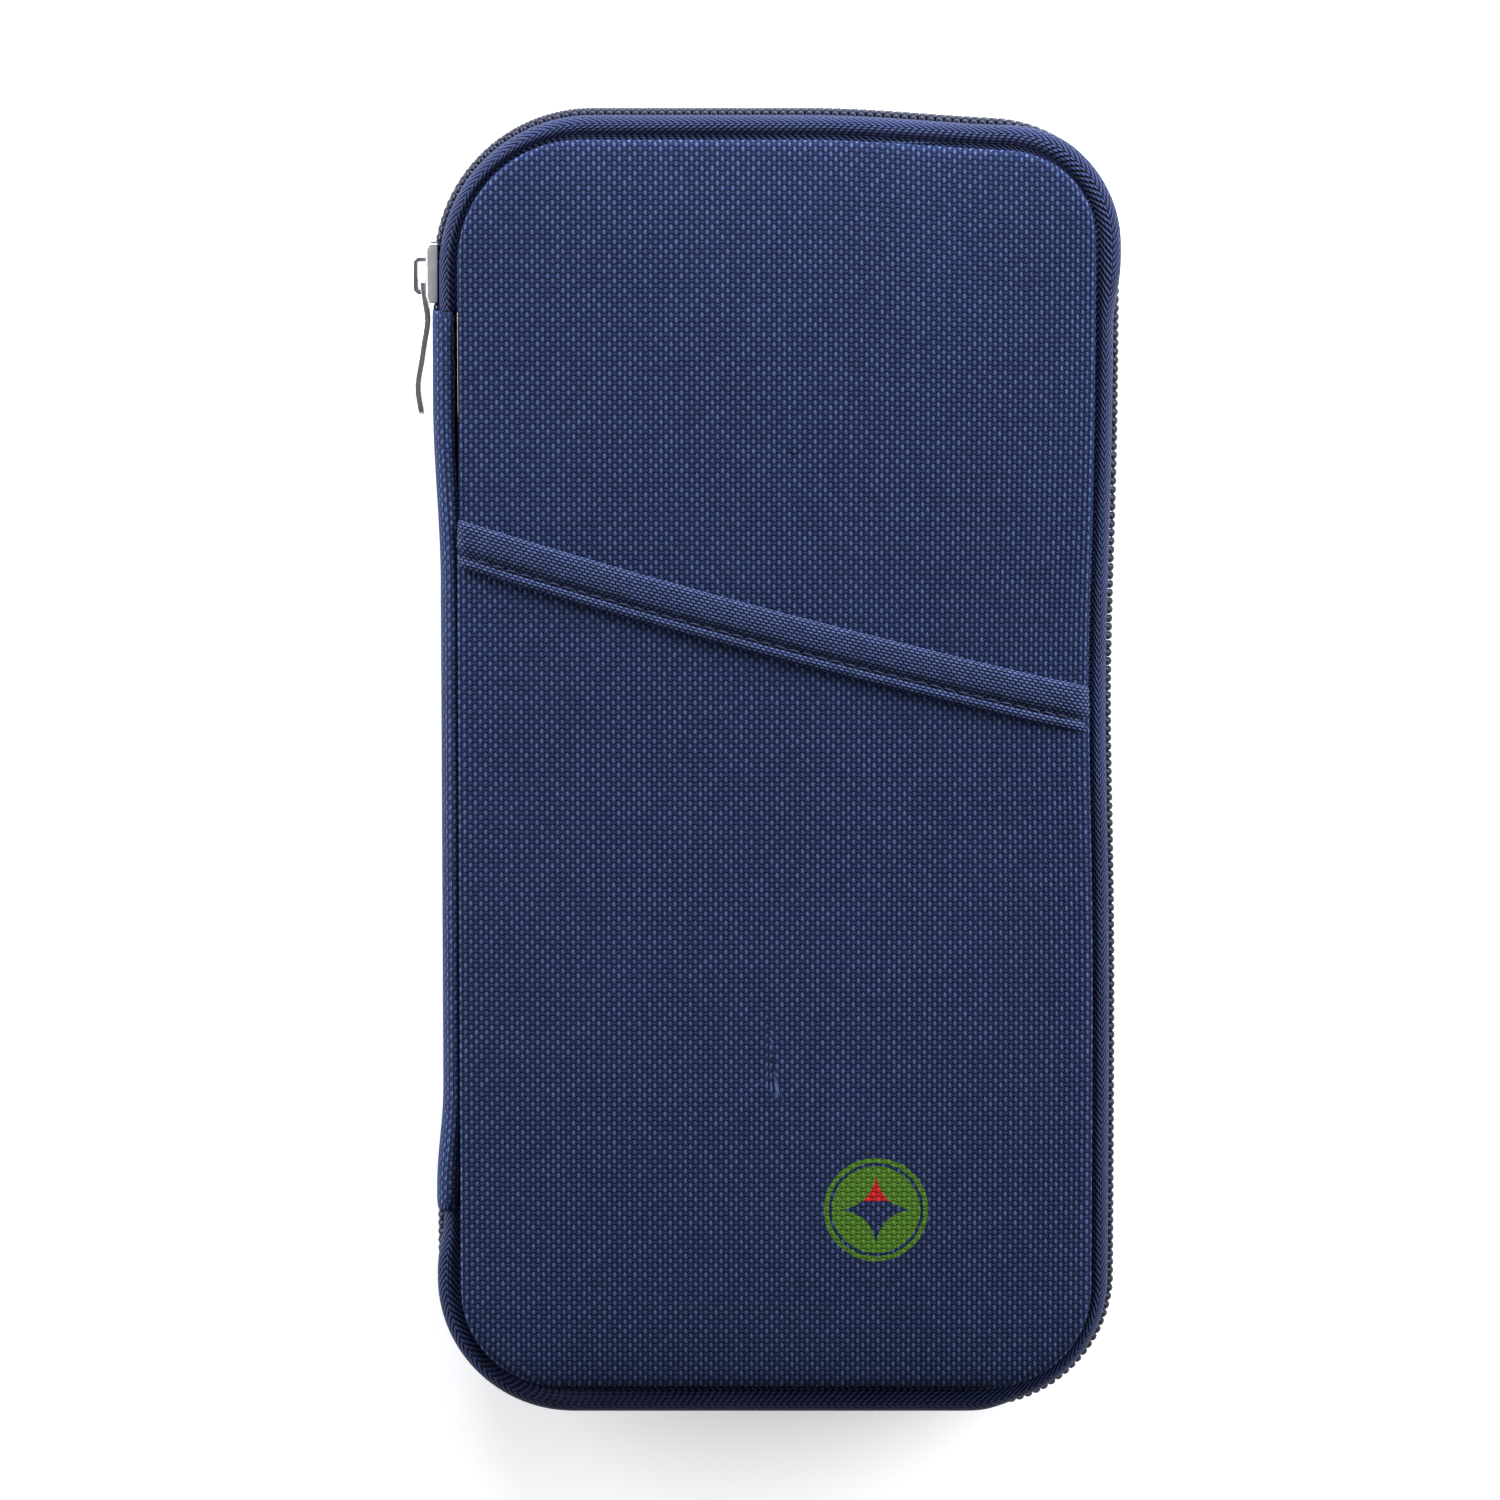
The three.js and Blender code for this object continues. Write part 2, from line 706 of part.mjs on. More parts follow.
function addCoinPocket() {
  const wall = 1.5;
  const shell = plate(coinL, coinR, coinFoot, coinHead, 5, backFloor, coinTop);
  const room = plate(coinL + wall, coinR - wall, coinFoot + wall, coinHead - wall, 4,
    backFloor - 1, coinTop - coinShellT);
  const slot = box(slotL, slotR, coinZipY - coinSlotHalf, coinZipY + coinSlotHalf,
    coinTop - 2, coinTop + 1);
  add('coin_pocket_panel', cut(shell, room, slot), 'lining');
}

function addCoinTape(name, y0, y1) {
  add(name, box(slotL - 3, slotR + 3, y0, y1, coinTapeLow, coinTapeHigh), 'tape');
}

function addCoinCoil(name, y0, y1) {
  const chamferY = 0.35;
  const chamferZ = 0.4;
  add(name, runX([
    [y0 + chamferY, coinCoilLow],
    [y1 - chamferY, coinCoilLow],
    [y1, coinCoilLow + chamferZ],
    [y1, coinCoilHigh - chamferZ],
    [y1 - chamferY, coinCoilHigh],
    [y0 + chamferY, coinCoilHigh],
    [y0, coinCoilHigh - chamferZ],
    [y0, coinCoilLow + chamferZ],
  ], coinCoilL, coinCoilR), 'coil');
}

function addCoinStop(name, x0) {
  const half = 2.4;
  add(name, box(x0, x0 + 1.4, coinZipY - half, coinZipY + half, coinCoilLow, coinCoilHigh + 0.3), 'metal');
}

const tapeNear = coinCoilGap + 0.1;
const tapeFar = coinSlotHalf + 2.2;
const coilFar = coinCoilGap + 1.7;
addCoinPocket();
addCoinTape('coin_tape_upper', coinZipY + tapeNear, coinZipY + tapeFar);
addCoinTape('coin_tape_lower', coinZipY - tapeFar, coinZipY - tapeNear);
addCoinCoil('coin_coil_upper', coinZipY + coinCoilGap, coinZipY + coilFar);
addCoinCoil('coin_coil_lower', coinZipY - coilFar, coinZipY - coinCoilGap);
addCoinStop('coin_stop_left', coinCoilL - 1.6);
addCoinStop('coin_stop_right', coinCoilR + 0.2);

// ---- the coin pocket's slider ----------------------------------------------------------------------------
const coinSliderX = coinCoilL + 5.2;
const coinSliderHalf = 4.2;
const coinSliderW = 2.9;
const coinPlateLow = coinCoilHigh + 0.25;
const coinPlateHigh = coinPlateLow + 0.6;

function addCoinSlider() {
  const x0 = coinSliderX - coinSliderHalf;
  const x1 = coinSliderX + coinSliderHalf;
  const y0 = coinZipY - coinSliderW;
  const y1 = coinZipY + coinSliderW;
  const flange = 0.5;
  const flangeLow = coinCoilLow + 0.2;
  const flangeHigh = coinPlateLow + 0.1;
  const upper = box(x0, x1, y0, y1, coinPlateLow, coinPlateHigh);
  const lowerFlange = box(x0, x1, y0, y0 + flange, flangeLow, flangeHigh);
  const upperFlange = box(x0, x1, y1 - flange, y1, flangeLow, flangeHigh);
  const under = box(x0, x1 - 1, y0, y1, coinTapeLow - 1.0, coinTapeLow - 0.4);
  const post = box(coinSliderX + 1.2, coinSliderX + 3.0, coinZipY - 0.22, coinZipY + 0.22,
    coinTapeLow - 0.5, flangeHigh);
  add('coin_slider_body', join(upper, lowerFlange, upperFlange, under, post), 'metal');
}

function addCoinCrown() {
  const foot = coinPlateHigh + 0.01;
  const top = foot + 2.0;
  add('coin_slider_crown', runY([
    [coinSliderX - 2.6, foot],
    [coinSliderX - 1.8, foot],
    [coinSliderX - 1.8, top - 0.7],
    [coinSliderX + 1.8, top - 0.7],
    [coinSliderX + 1.8, foot],
    [coinSliderX + 2.6, foot],
    [coinSliderX + 2.6, top - 0.6],
    [coinSliderX + 2.0, top],
    [coinSliderX - 2.0, top],
    [coinSliderX - 2.6, top - 0.6],
  ], coinZipY - 0.8, coinZipY + 0.8), 'metal');
}

function addCoinPull() {
  const level = coinPlateHigh + 0.66;
  const start = coinSliderX - 0.6;
  const tab = plate(start, start + coinPullLen, coinZipY - 1.9, coinZipY + 1.9, 0.5,
    level - 0.3, level + 0.3);
  const eye = box(coinSliderX + 0.2, coinSliderX + 3.6, coinZipY - 1.1, coinZipY + 1.1,
    level - 2, level + 2);
  add('coin_pull_tab', cut(tab, eye), 'metal');
}

addCoinSlider();
addCoinCrown();
addCoinPull();

// ---- inside the front cover: card slots and clear window ------------------------------------------
const frontFloor = frontInner - layerGap;
const cardL = -cardW / 2 + 1;
const cardR = cardW / 2 + 1;
const cardTop = halfH - 22;
const cardStack = frontFloor - cardPitch * cardTiers;
for (let k = 0; k < cardTiers; k++) {
  const level = frontFloor - cardPitch * k;
  add(`card_tier_${k + 1}`, plate(cardL, cardR, cardFoot, cardTop - cardStep * k, 1,
    level - panelT, level), 'lining');
}
add('card_side_binding_left', plate(cardL - sideBindW - bindStep, cardL - bindStep,
  cardFoot, cardTop, 0.6, cardStack, frontFloor), 'binding');
add('card_side_binding_right', plate(cardR + bindStep, cardR + sideBindW + bindStep,
  cardFoot, cardTop, 0.6, cardStack, frontFloor), 'binding');

const windowFoot = -halfH + 38;
const windowL = -windowW / 2 + 1;
const windowR = windowW / 2 + 1;
const filmT = 0.3;
const frameLevel = frontFloor - filmT - layerGap;

function addWindow() {
  const film = plate(windowL - 4, windowR + 4, windowFoot - 4, windowFoot + windowH + 4, 1,
    frontFloor - filmT, frontFloor);
  const border = plate(windowL - 8, windowR + 8, -halfH + 17, -2, 3, frameLevel - 0.7, frameLevel);
  const opening = plate(windowL, windowR, windowFoot, windowFoot + windowH, 4,
    frameLevel - 3, frameLevel + 3);
  add('id_window_film', film, 'film');
  add('id_window_frame', cut(border, opening), 'lining');
}

addWindow();

export default group;
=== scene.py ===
# %% [markdown]
# A zip-around travel organiser, flat on its back: two padded fabric covers, a
# fabric spine, a coil zip round the wall and a slanted pocket on the front.
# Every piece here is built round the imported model, which sets all its sizes.
# Lengths below are in millimetres, and each mesh is turned to metres at the end.

import json
import math

import bmesh
import bpy
import numpy as np
from mathutils import Matrix, Vector
from mathutils.bvhtree import BVHTree

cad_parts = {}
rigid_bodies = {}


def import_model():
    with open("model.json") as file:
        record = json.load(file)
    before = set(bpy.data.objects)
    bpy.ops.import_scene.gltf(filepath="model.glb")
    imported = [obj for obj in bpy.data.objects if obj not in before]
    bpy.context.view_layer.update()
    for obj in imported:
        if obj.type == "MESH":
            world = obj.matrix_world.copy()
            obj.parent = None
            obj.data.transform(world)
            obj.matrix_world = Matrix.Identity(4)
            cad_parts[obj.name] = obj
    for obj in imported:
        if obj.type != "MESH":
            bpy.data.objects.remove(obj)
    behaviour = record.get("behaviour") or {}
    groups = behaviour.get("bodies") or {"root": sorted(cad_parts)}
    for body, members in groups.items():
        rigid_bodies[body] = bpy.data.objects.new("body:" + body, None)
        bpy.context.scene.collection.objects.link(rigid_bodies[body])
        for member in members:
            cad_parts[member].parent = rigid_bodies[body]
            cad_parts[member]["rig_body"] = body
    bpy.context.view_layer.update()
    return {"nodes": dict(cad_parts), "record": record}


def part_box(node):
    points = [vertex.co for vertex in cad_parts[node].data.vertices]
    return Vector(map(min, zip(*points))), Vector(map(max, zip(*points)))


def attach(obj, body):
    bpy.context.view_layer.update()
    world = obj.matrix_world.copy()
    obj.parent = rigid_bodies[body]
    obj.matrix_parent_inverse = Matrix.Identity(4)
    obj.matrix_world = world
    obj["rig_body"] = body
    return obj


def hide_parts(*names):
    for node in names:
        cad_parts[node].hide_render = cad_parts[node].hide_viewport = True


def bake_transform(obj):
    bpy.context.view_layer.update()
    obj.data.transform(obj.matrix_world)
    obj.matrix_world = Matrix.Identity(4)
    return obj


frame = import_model()
MM = 0.001


def box_mm(node):
    """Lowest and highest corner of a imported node, in millimetres."""
    low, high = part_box(node)
    return np.array(low) / MM, np.array(high) / MM


COIL_LOW, COIL_HIGH = box_mm("front_zip_coil")
HALF_W, HALF_H = COIL_HIGH[0], COIL_HIGH[1]
TOP = box_mm("front_pocket_binding")[1][2]
MID = TOP / 2
print("half width", HALF_W, "half height", HALF_H, "thickness", TOP)

# %% [markdown]
# The wall of the organiser is one family of rounded rectangles, one inside the
# other. Near the zip they keep the zip's own corners, and further in, where the
# covers begin, the corners are tighter. A `station` is one place along that wall:
# give it an inset and it returns the point. Everything that follows the wall, such
# as the tape, the coil and the covers, is built on the same stations.

# %% Wall stations
COVER_IN = 4.8
END_MARGIN = 1.0
COIL_ZONE = 3.0
COVER_ZONE = 6.0
LEAST_RADIUS = 3.0
# Radius, the way in from the corner in x and y, and the arc's first and last angle.
CORNER = {
    "TL": (29.0, 1, -1, 180, 90),
    "TR": (23.0, -1, -1, 90, 0),
    "BR": (25.0, -1, 1, 0, -90),
    "BL": (25.0, 1, 1, -90, -180),
}
ROUND = tuple(CORNER)


def corner_point(name, share, inset):
    """A point of one corner's arc on the line that lies `inset` inside the zip."""
    radius, right, up, start, stop = CORNER[name]
    past_coil = max(inset - COIL_ZONE, 0)
    y_inset = inset + END_MARGIN * min(past_coil, COVER_IN - COIL_ZONE) / (COVER_IN - COIL_ZONE)
    tighter = min(inset, COIL_ZONE) + 2.2 * min(past_coil, COVER_ZONE - COIL_ZONE)
    tighter += 0.6 * max(inset - COVER_ZONE, 0)
    half = min(HALF_W - inset, HALF_H - y_inset)
    r = min(max(radius - tighter, LEAST_RADIUS), 0.98 * half)
    angle = math.radians(start + (stop - start) * share)
    middle_x = right * r - right * (HALF_W - inset)
    middle_y = up * r - up * (HALF_H - y_inset)
    return np.array((middle_x + r * math.cos(angle), middle_y + r * math.sin(angle)))


def side_point(first, second, share, inset):
    """A point of the straight stretch between two corners."""
    a = corner_point(first, 1, inset)
    b = corner_point(second, 0, inset)
    return a + (b - a) * share


def wall(step, head=None, foot=None):
    """Stations clockwise from the left wall, about `step` apart. With head and foot
    the line is open: it starts at that height on the left wall and ends at the other."""
    found = []
    for name, after in zip(ROUND, ROUND[1:] + ROUND[:1]):
        arc = math.radians(90) * CORNER[name][0]
        n = max(4, round(arc / step))
        found += [(corner_point, (name, j / n)) for j in range(n)]
        a, b = corner_point(name, 1, 0), corner_point(after, 0, 0)
        span = float(np.linalg.norm(b - a))
        if after != "TL" or head is None:
            m = max(2, round(span / step))
            found += [(side_point, (name, after, j / m)) for j in range(m)]
            continue
        low = (foot - a[1]) / (b[1] - a[1])
        high = (head - a[1]) / (b[1] - a[1])
        below = max(2, round(low * span / step))
        above = max(2, round((1 - high) * span / step))
        tail = [(side_point, (name, after, low * j / below)) for j in range(below + 1)]
        start = [(side_point, (name, after, high + (1 - high) * j / above)) for j in range(above)]
        found = start + found + tail
    return [lambda inset, f=f, a=a: f(*a, inset) for f, a in found]


print("stations round the wall:", len(wall(3.0)))

# %% [markdown]
# A used fabric case is never true. The head edge of this one droops a little
# towards its right corner, and the opening side pulls in slightly at mid height.
# One smooth function moves every soft piece the same way, so that neighbours
# still meet.


# %% The case's own slight sag
HEAD_DROOP = 2.0
WAIST = 1.0


def ease(t):
    """A smooth step from 0 to 1."""
    t = np.clip(t, 0, 1)
    return t * t * (3 - 2 * t)


def settle(points):
    """Moves points (n x 3) by the case's slight sag."""
    p = np.array(points, float)
    x, y = p[:, 0].copy(), p[:, 1].copy()
    p[:, 1] -= HEAD_DROOP * ease((x - 6) / 42) * ease((y - 40) / 75)
    p[:, 0] -= WAIST * np.exp(-(((y - 15) / 34) ** 2)) * ease((x - 20) / 40)
    return p


print("droop at the right head corner:", HALF_H - settle([(55, HALF_H, MID)])[0][1])

# %% [markdown]
# Most pieces are rings of points joined by quads: a tape is a profile carried
# along the wall, and a pad is a stack of outlines. `skin` joins rings, closes the
# ends, writes a UV map called "cloth" that holds real millimetres of fabric, and
# turns every face outwards. A weave drawn on that map keeps its true scale.


# %% Mesh helpers
def linked(name, mesh):
    """A smooth-shaded object of this mesh, in the scene."""
    mesh.polygons.foreach_set("use_smooth", [True] * len(mesh.polygons))
    piece = bpy.data.objects.new(name, mesh)
    bpy.context.scene.collection.objects.link(piece)
    return piece


def finish_mesh(name, verts, faces, corner_uv, material):
    """A mesh object from millimetre points. corner_uv holds one (u, v) per face corner."""
    mesh = bpy.data.meshes.new(name)
    mesh.from_pydata([tuple(np.asarray(v, float) * MM) for v in verts], [], faces)
    if corner_uv is not None:
        layer = mesh.uv_layers.new(name="cloth")
        flat = np.array([c for face in corner_uv for c in face], np.float32).reshape(-1)
        layer.data.foreach_set("uv", flat)
    mesh.materials.append(material)
    work = bmesh.new()
    work.from_mesh(mesh)
    wide = [f for f in work.faces if len(f.verts) > 8]
    bmesh.ops.triangulate(work, faces=wide, ngon_method="BEAUTY")
    bmesh.ops.recalc_face_normals(work, faces=work.faces)
    work.to_mesh(mesh)
    work.free()
    return linked(name, mesh)


def lengths(points):
    """Running length along a row of points."""
    steps = np.linalg.norm(np.diff(np.asarray(points, float), axis=0), axis=1)
    return np.concatenate(([0.0], np.cumsum(steps)))


def turned(sides):
    """Cosine and sine of evenly spaced angles."""
    angles = [2 * math.pi * k / sides for k in range(sides)]
    return [(math.cos(a), math.sin(a)) for a in angles]


def ring_quads(count, n):
    """Quads between `count` closed rings of n points each."""
    faces = []
    for i in range(count - 1):
        for j in range(n):
            k = (j + 1) % n
            faces.append((i * n + j, i * n + k, (i + 1) * n + k, (i + 1) * n + j))
    return faces


def skin(name, rings, material, sag=True):
    """Joins closed rings of equal count into one closed piece."""
    rings = [settle(r) if sag else np.asarray(r, float) for r in rings]
    n, count = len(rings[0]), len(rings)
    along = lengths([r.mean(axis=0) for r in rings])
    across = lengths(list(rings[0]) + [rings[0][0]])
    uv = []
    for u0, u1 in zip(along, along[1:]):
        for v0, v1 in zip(across, across[1:]):
            uv.append([(u0, v0), (u0, v1), (u1, v1), (u1, v0)])
    faces = ring_quads(count, n)
    for i in (0, count - 1):
        faces.append(tuple(i * n + j for j in range(n)))
        uv.append([(along[i], across[j]) for j in range(n)])
    return finish_mesh(name, np.concatenate(rings), faces, uv, material)


ONCE = {"levels": 1, "render_levels": 1}


def modified(piece, **kinds):
    """Adds modifiers by type and settings, applies them all and keeps the UV map."""
    for kind, settings in kinds.items():
        modifier = piece.modifiers.new(kind.lower(), kind)
        for key, value in settings.items():
            setattr(modifier, key, value)
    graph = bpy.context.evaluated_depsgraph_get()
    mesh = bpy.data.meshes.new_from_object(piece.evaluated_get(graph), depsgraph=graph)
    piece.modifiers.clear()
    piece.data = mesh
    return piece


def placed(piece, body, slot, *nodes):
    """Rides a finished piece on its body and hides the nodes it stands for; slot is not used."""
    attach(piece, body)
    if nodes:
        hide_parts(*nodes)
    print(piece.name, "faces", len(piece.data.polygons), "on", body)
    return piece


# %% [markdown]
# Finishes come first, because each piece takes one as it is made. Shader maths
# reads best as plain arithmetic, so one small class wraps a socket and turns each
# `+`, `*` or `<` into the Math node that does it. Every other node comes from
# `Finish.node`, which takes the node's settings first and its inputs second.


# %% Shader arithmetic
class Value:
    """A number that varies over a surface."""

    def __init__(self, finish, socket):
        self.finish, self.socket = finish, socket

    def math(self, operation, *values, clamp=False):
        settings = {"operation": operation, "use_clamp": clamp}
        return self.finish.node("ShaderNodeMath", settings, values)

    def __add__(self, other):
        return self.math("ADD", self, other)

    def __sub__(self, other):
        return self.math("SUBTRACT", self, other)

    def __rsub__(self, other):
        return self.math("SUBTRACT", other, self)

    def __mul__(self, other):
        return self.math("MULTIPLY", self, other)

    def __truediv__(self, other):
        return self.math("DIVIDE", self, other)

    def __pow__(self, other):
        return self.math("POWER", self, other)

    def __lt__(self, other):
        return self.math("LESS_THAN", self, other)

    def __gt__(self, other):
        return self.math("GREATER_THAN", self, other)

    __radd__ = __add__
    __rmul__ = __mul__

    def floor(self):
        return self.math("FLOOR", self)

    def fract(self):
        return self.math("FRACT", self)

    def abs(self):
        return self.math("ABSOLUTE", self)

    def sqrt(self):
        return self.math("SQRT", self)

    def clip(self):
        return self.math("ADD", self, 0.0, clamp=True)

    def wave(self, pitch):
        """Falls from 1 to 0 and rises again over each pitch."""
        return ((self / pitch).fract() - 0.5).abs() * 2.0

    def most(self, other):
        return self.math("MAXIMUM", self, other)


class Finish:
    """A material with a Principled shader whose constants are set at once."""

    def __init__(self, name, **constants):
        self.material = bpy.data.materials.new(name)
        self.material.use_nodes = True
        self.tree = self.material.node_tree
        self.shader = self.tree.nodes["Principled BSDF"]
        for key, value in constants.items():
            self.shader.inputs[key.replace("_", " ")].default_value = value

    def node(self, kind, settings=None, values=(), out=0):
        """Makes a node; values are in socket order, or a dict by socket name or number."""
        made = self.tree.nodes.new(kind)
        for key, value in (settings or {}).items():
            setattr(made, key, value)
        pairs = values.items() if isinstance(values, dict) else enumerate(values)
        for key, value in pairs:
            if isinstance(value, Value):
                self.tree.links.new(value.socket, made.inputs[key])
            else:
                made.inputs[key].default_value = value
        return Value(self, made.outputs[out])

    def feed(self, **sockets):
        for key, value in sockets.items():
            self.tree.links.new(value.socket, self.shader.inputs[key.replace("_", " ")])

    def parts(self, vector):
        """The first two numbers of a vector."""
        split = self.node("ShaderNodeSeparateXYZ", values=[vector])
        return split, Value(self, split.socket.node.outputs[1])

    def cloth(self):
        """The piece's own fabric map, as two numbers in millimetres."""
        return self.parts(self.node("ShaderNodeUVMap", {"uv_map": "cloth"}))

    def place(self):
        """Object coordinates in metres, as a vector."""
        return self.node("ShaderNodeTexCoord", out=3)

    def noise(self, vector, scale, detail=2.0):
        values = {"Vector": vector, "Scale": scale, "Detail": detail}
        return self.node("ShaderNodeTexNoise", {"noise_dimensions": "3D"}, values)

    def mix(self, factor, a, b):
        """Colour a where factor is 0, b where it is 1."""
        a, b = [c if isinstance(c, Value) else (*c, 1.0) for c in (a, b)]
        return self.node("ShaderNodeMix", {"data_type": "RGBA"}, {0: factor, 6: a, 7: b}, out=2)

    def random(self, number):
        """A steady random number for each whole number."""
        return self.node("ShaderNodeTexWhiteNoise", {"noise_dimensions": "1D"}, {"W": number})

    def cloud(self, scale, detail=2.0):
        """A soft change over the surface, about as often above zero as below."""
        return self.noise(self.place(), scale, detail) - 0.5

    def bump(self, height, distance, strength=1.0):
        values = {"Height": height, "Distance": distance, "Strength": strength}
        self.feed(Normal=self.node("ShaderNodeBump", values=values))


print("shader helpers ready")

# %% [markdown]
# The outer cloth is a coarse Oxford: thick warp threads float over the weft in
# upright ovals, each column shifted half a repeat from its neighbour, with the
# weft showing between, darker by painted shade. It is drawn from two folded saw-tooth
# waves, one for the floats and one for the gaps, so it stays crisp at any size. The
# colour follows that relief, with some random tone: painted shade in the hollows and
# lighter floats. The floats are smoother than the weft, and a painted highlight on
# each float's crown gives the cloth its points of light.

# %% Oxford cloth
COLUMN = 0.93
FLOAT_PITCH = 1.76
FLOAT_RISE = 0.00032
# Weft colour from the float edges (DEEP) to the gap middles (MIDDLE), and the floats' colour (BRIGHT):
# the steps between them are partly painted shade in the weave's hollows.
DEEP = (0.0062, 0.0086, 0.024)
MIDDLE = (0.0150, 0.0225, 0.064)
BRIGHT = (0.0225, 0.0365, 0.098)
# A painted highlight: the pale blue laid into the colour on each float's crown.
PAINTED_HIGHLIGHT = (0.072, 0.106, 0.208)


def stagger(row):
    """No shift in even rows and half a repeat in odd ones."""
    return (row * 0.5).fract()


def oxford(finish, u, v):
    """Height of the floats and of the weft, and one random number per float."""
    column = (u / COLUMN).floor()
    across = (u / COLUMN).fract() - 0.5
    shifted = v / FLOAT_PITCH + stagger(column)
    along = shifted.fract() - 0.5
    luck = finish.random(column * 57.31 + shifted.floor() * 3.17)
    wide = across / 0.40
    tall = along / (0.36 + 0.05 * luck)
    floats = (1.0 - wide * wide - tall * tall).clip().sqrt()
    gap = (0.5 - along.abs()) / 0.20
    edge = across / 0.62
    weft = (1.0 - gap * gap - edge * edge).clip().sqrt() * 0.62
    return floats, weft, luck


def cloth_finish(name):
    """The cloth's finish with all but its colour fed, the floats and that colour."""
    finish = Finish(name, Specular_IOR_Level=0.03)
    floats, weft, luck = oxford(finish, *finish.cloth())
    # The colour follows the weave's height: painted shade darkens the weft towards the floats and the
    # raised floats are painted lighter, with random tone from luck and a soft cloud.
    tone = (floats * (0.88 + 0.20 * luck) + finish.cloud(45.0, 3.0) * 0.22).clip()
    crown = ((floats - 0.66) / 0.34).clip()
    # Painted highlight on the crown of each float, stronger on some floats at random.
    painted_sheen = (crown * (0.16 + 0.42 * luck)).clip()
    woven = finish.mix(tone, finish.mix(weft, DEEP, MIDDLE), BRIGHT)
    finish.feed(Roughness=0.80 - 0.25 * floats)
    finish.bump(floats.most(weft), FLOAT_RISE, 0.9)
    return finish, floats, finish.mix(painted_sheen, woven, PAINTED_HIGHLIGHT)


def make_oxford():
    finish, _, colour = cloth_finish("oxford_cloth")
    finish.feed(Base_Color=colour)
    return finish.material


OXFORD = make_oxford()
print("floats", COLUMN, "mm apart,", FLOAT_PITCH, "mm long")

# %% [markdown]
# The round print on the pocket is ink pressed into the same cloth, so it is the
# cloth's own finish with the colour changed inside a disc: a green ground, a plain
# four-pointed compass star and one red tip. The ink is lighter on the floats and
# darker in the gaps, a painted shade that follows the weave's height and keeps the
# weave in sight.

# %% Pocket cloth with its compass print
PRINT_X, PRINT_Y, PRINT_R = 18.3, -81.0, 9.6
RING_OUT, RING_IN = 0.9, 1.5
STAR_REACH = 2.95
TIP_FROM = 1.6


def make_pocket_cloth():
    finish, floats, colour = cloth_finish("pocket_cloth")
    east, north = finish.parts(finish.place())
    x = east * 1000.0 - PRINT_X
    y = north * 1000.0 - PRINT_Y
    wobble = finish.cloud(900.0) * 0.5
    reach = (x * x + y * y).sqrt() + wobble
    disc = reach < PRINT_R
    ring = (reach > PRINT_R - RING_IN) * (reach < PRINT_R - RING_OUT)
    star = ((x.abs() + 0.15) ** 0.5 + (y.abs() + 0.15) ** 0.5 + wobble * 0.2) < STAR_REACH
    # The print's tone: lighter on the floats and darker in the gaps, a painted shade that follows the
    # weave's height.
    ink = 0.62 + 0.38 * floats
    green = finish.mix(ink, (0.014, 0.034, 0.008), (0.060, 0.142, 0.015))
    red = finish.mix(ink, (0.06, 0.003, 0.004), (0.42, 0.014, 0.016))
    printed = finish.mix(disc, colour, green)
    printed = finish.mix(ring, printed, colour)
    printed = finish.mix(star, printed, colour)
    finish.feed(Base_Color=finish.mix(star * (y > TIP_FROM), printed, red))
    return finish.material


POCKET_CLOTH = make_pocket_cloth()
print("print", 2 * PRINT_R, "mm across")

# %% [markdown]
# Zip tape is a herringbone twill: fine slanting ribs that change direction every
# few millimetres, woven from a shinier and darker yarn than the covers. Folding
# the distance across the tape with an absolute value makes the ribs turn back.

# %% Twill tape, binding, lining and elastic
# Pitches of each weave, in millimetres.
RIB_TURN, RIB_PITCH, YARN = 3.4, 1.25, 0.42
KNOT_ROW, KNOT_LONG = 0.62, 1.05
ELASTIC_RIB, ELASTIC_KNIT = 1.1, 0.5


def make_tape():
    finish = Finish("twill_tape", Specular_IOR_Level=0.04)
    u, v = finish.cloth()
    fold = ((v / RIB_TURN).fract() - 0.5).abs() * RIB_TURN
    slant = ((u + fold * 1.4) / RIB_PITCH).fract() - 0.5
    rib = (1.0 - slant * slant * 4.0).clip()
    height = rib * (0.60 + 0.40 * v.wave(YARN))
    # The colour follows the ribs' height: painted shade in the grooves between ribs and lighter rib tops,
    # with random tone from a soft cloud.
    tone = (height * height * 1.1 + finish.cloud(60.0) * 0.25).clip()
    colour = finish.mix(tone, (0.0016, 0.0022, 0.006), (0.037, 0.051, 0.140))
    finish.feed(Base_Color=colour, Roughness=0.52 - 0.16 * height)
    finish.bump(height, 0.00040, 1.0)
    return finish.material


def make_binding():
    finish = Finish("woven_binding", Specular_IOR_Level=0.04)
    u, v = finish.cloth()
    row = (v / KNOT_ROW).floor()
    across = (v / KNOT_ROW).fract() - 0.5
    along = (u / KNOT_LONG + stagger(row)).fract() - 0.5
    knot = (1.0 - across * across * 5.0 - along * along * 5.2).clip().sqrt()
    luck = finish.random(row * 11.0 + (u / KNOT_LONG).floor() * 5.3)
    # The colour follows the knots' height: painted shade between the knots, with random tone per knot.
    tone = (knot * (0.7 + 0.5 * luck)).clip()
    colour = finish.mix(tone, (0.0030, 0.0045, 0.014), (0.046, 0.066, 0.155))
    finish.feed(Base_Color=colour, Roughness=0.60 - 0.18 * knot)
    finish.bump(knot, 0.00020, 0.85)
    return finish.material


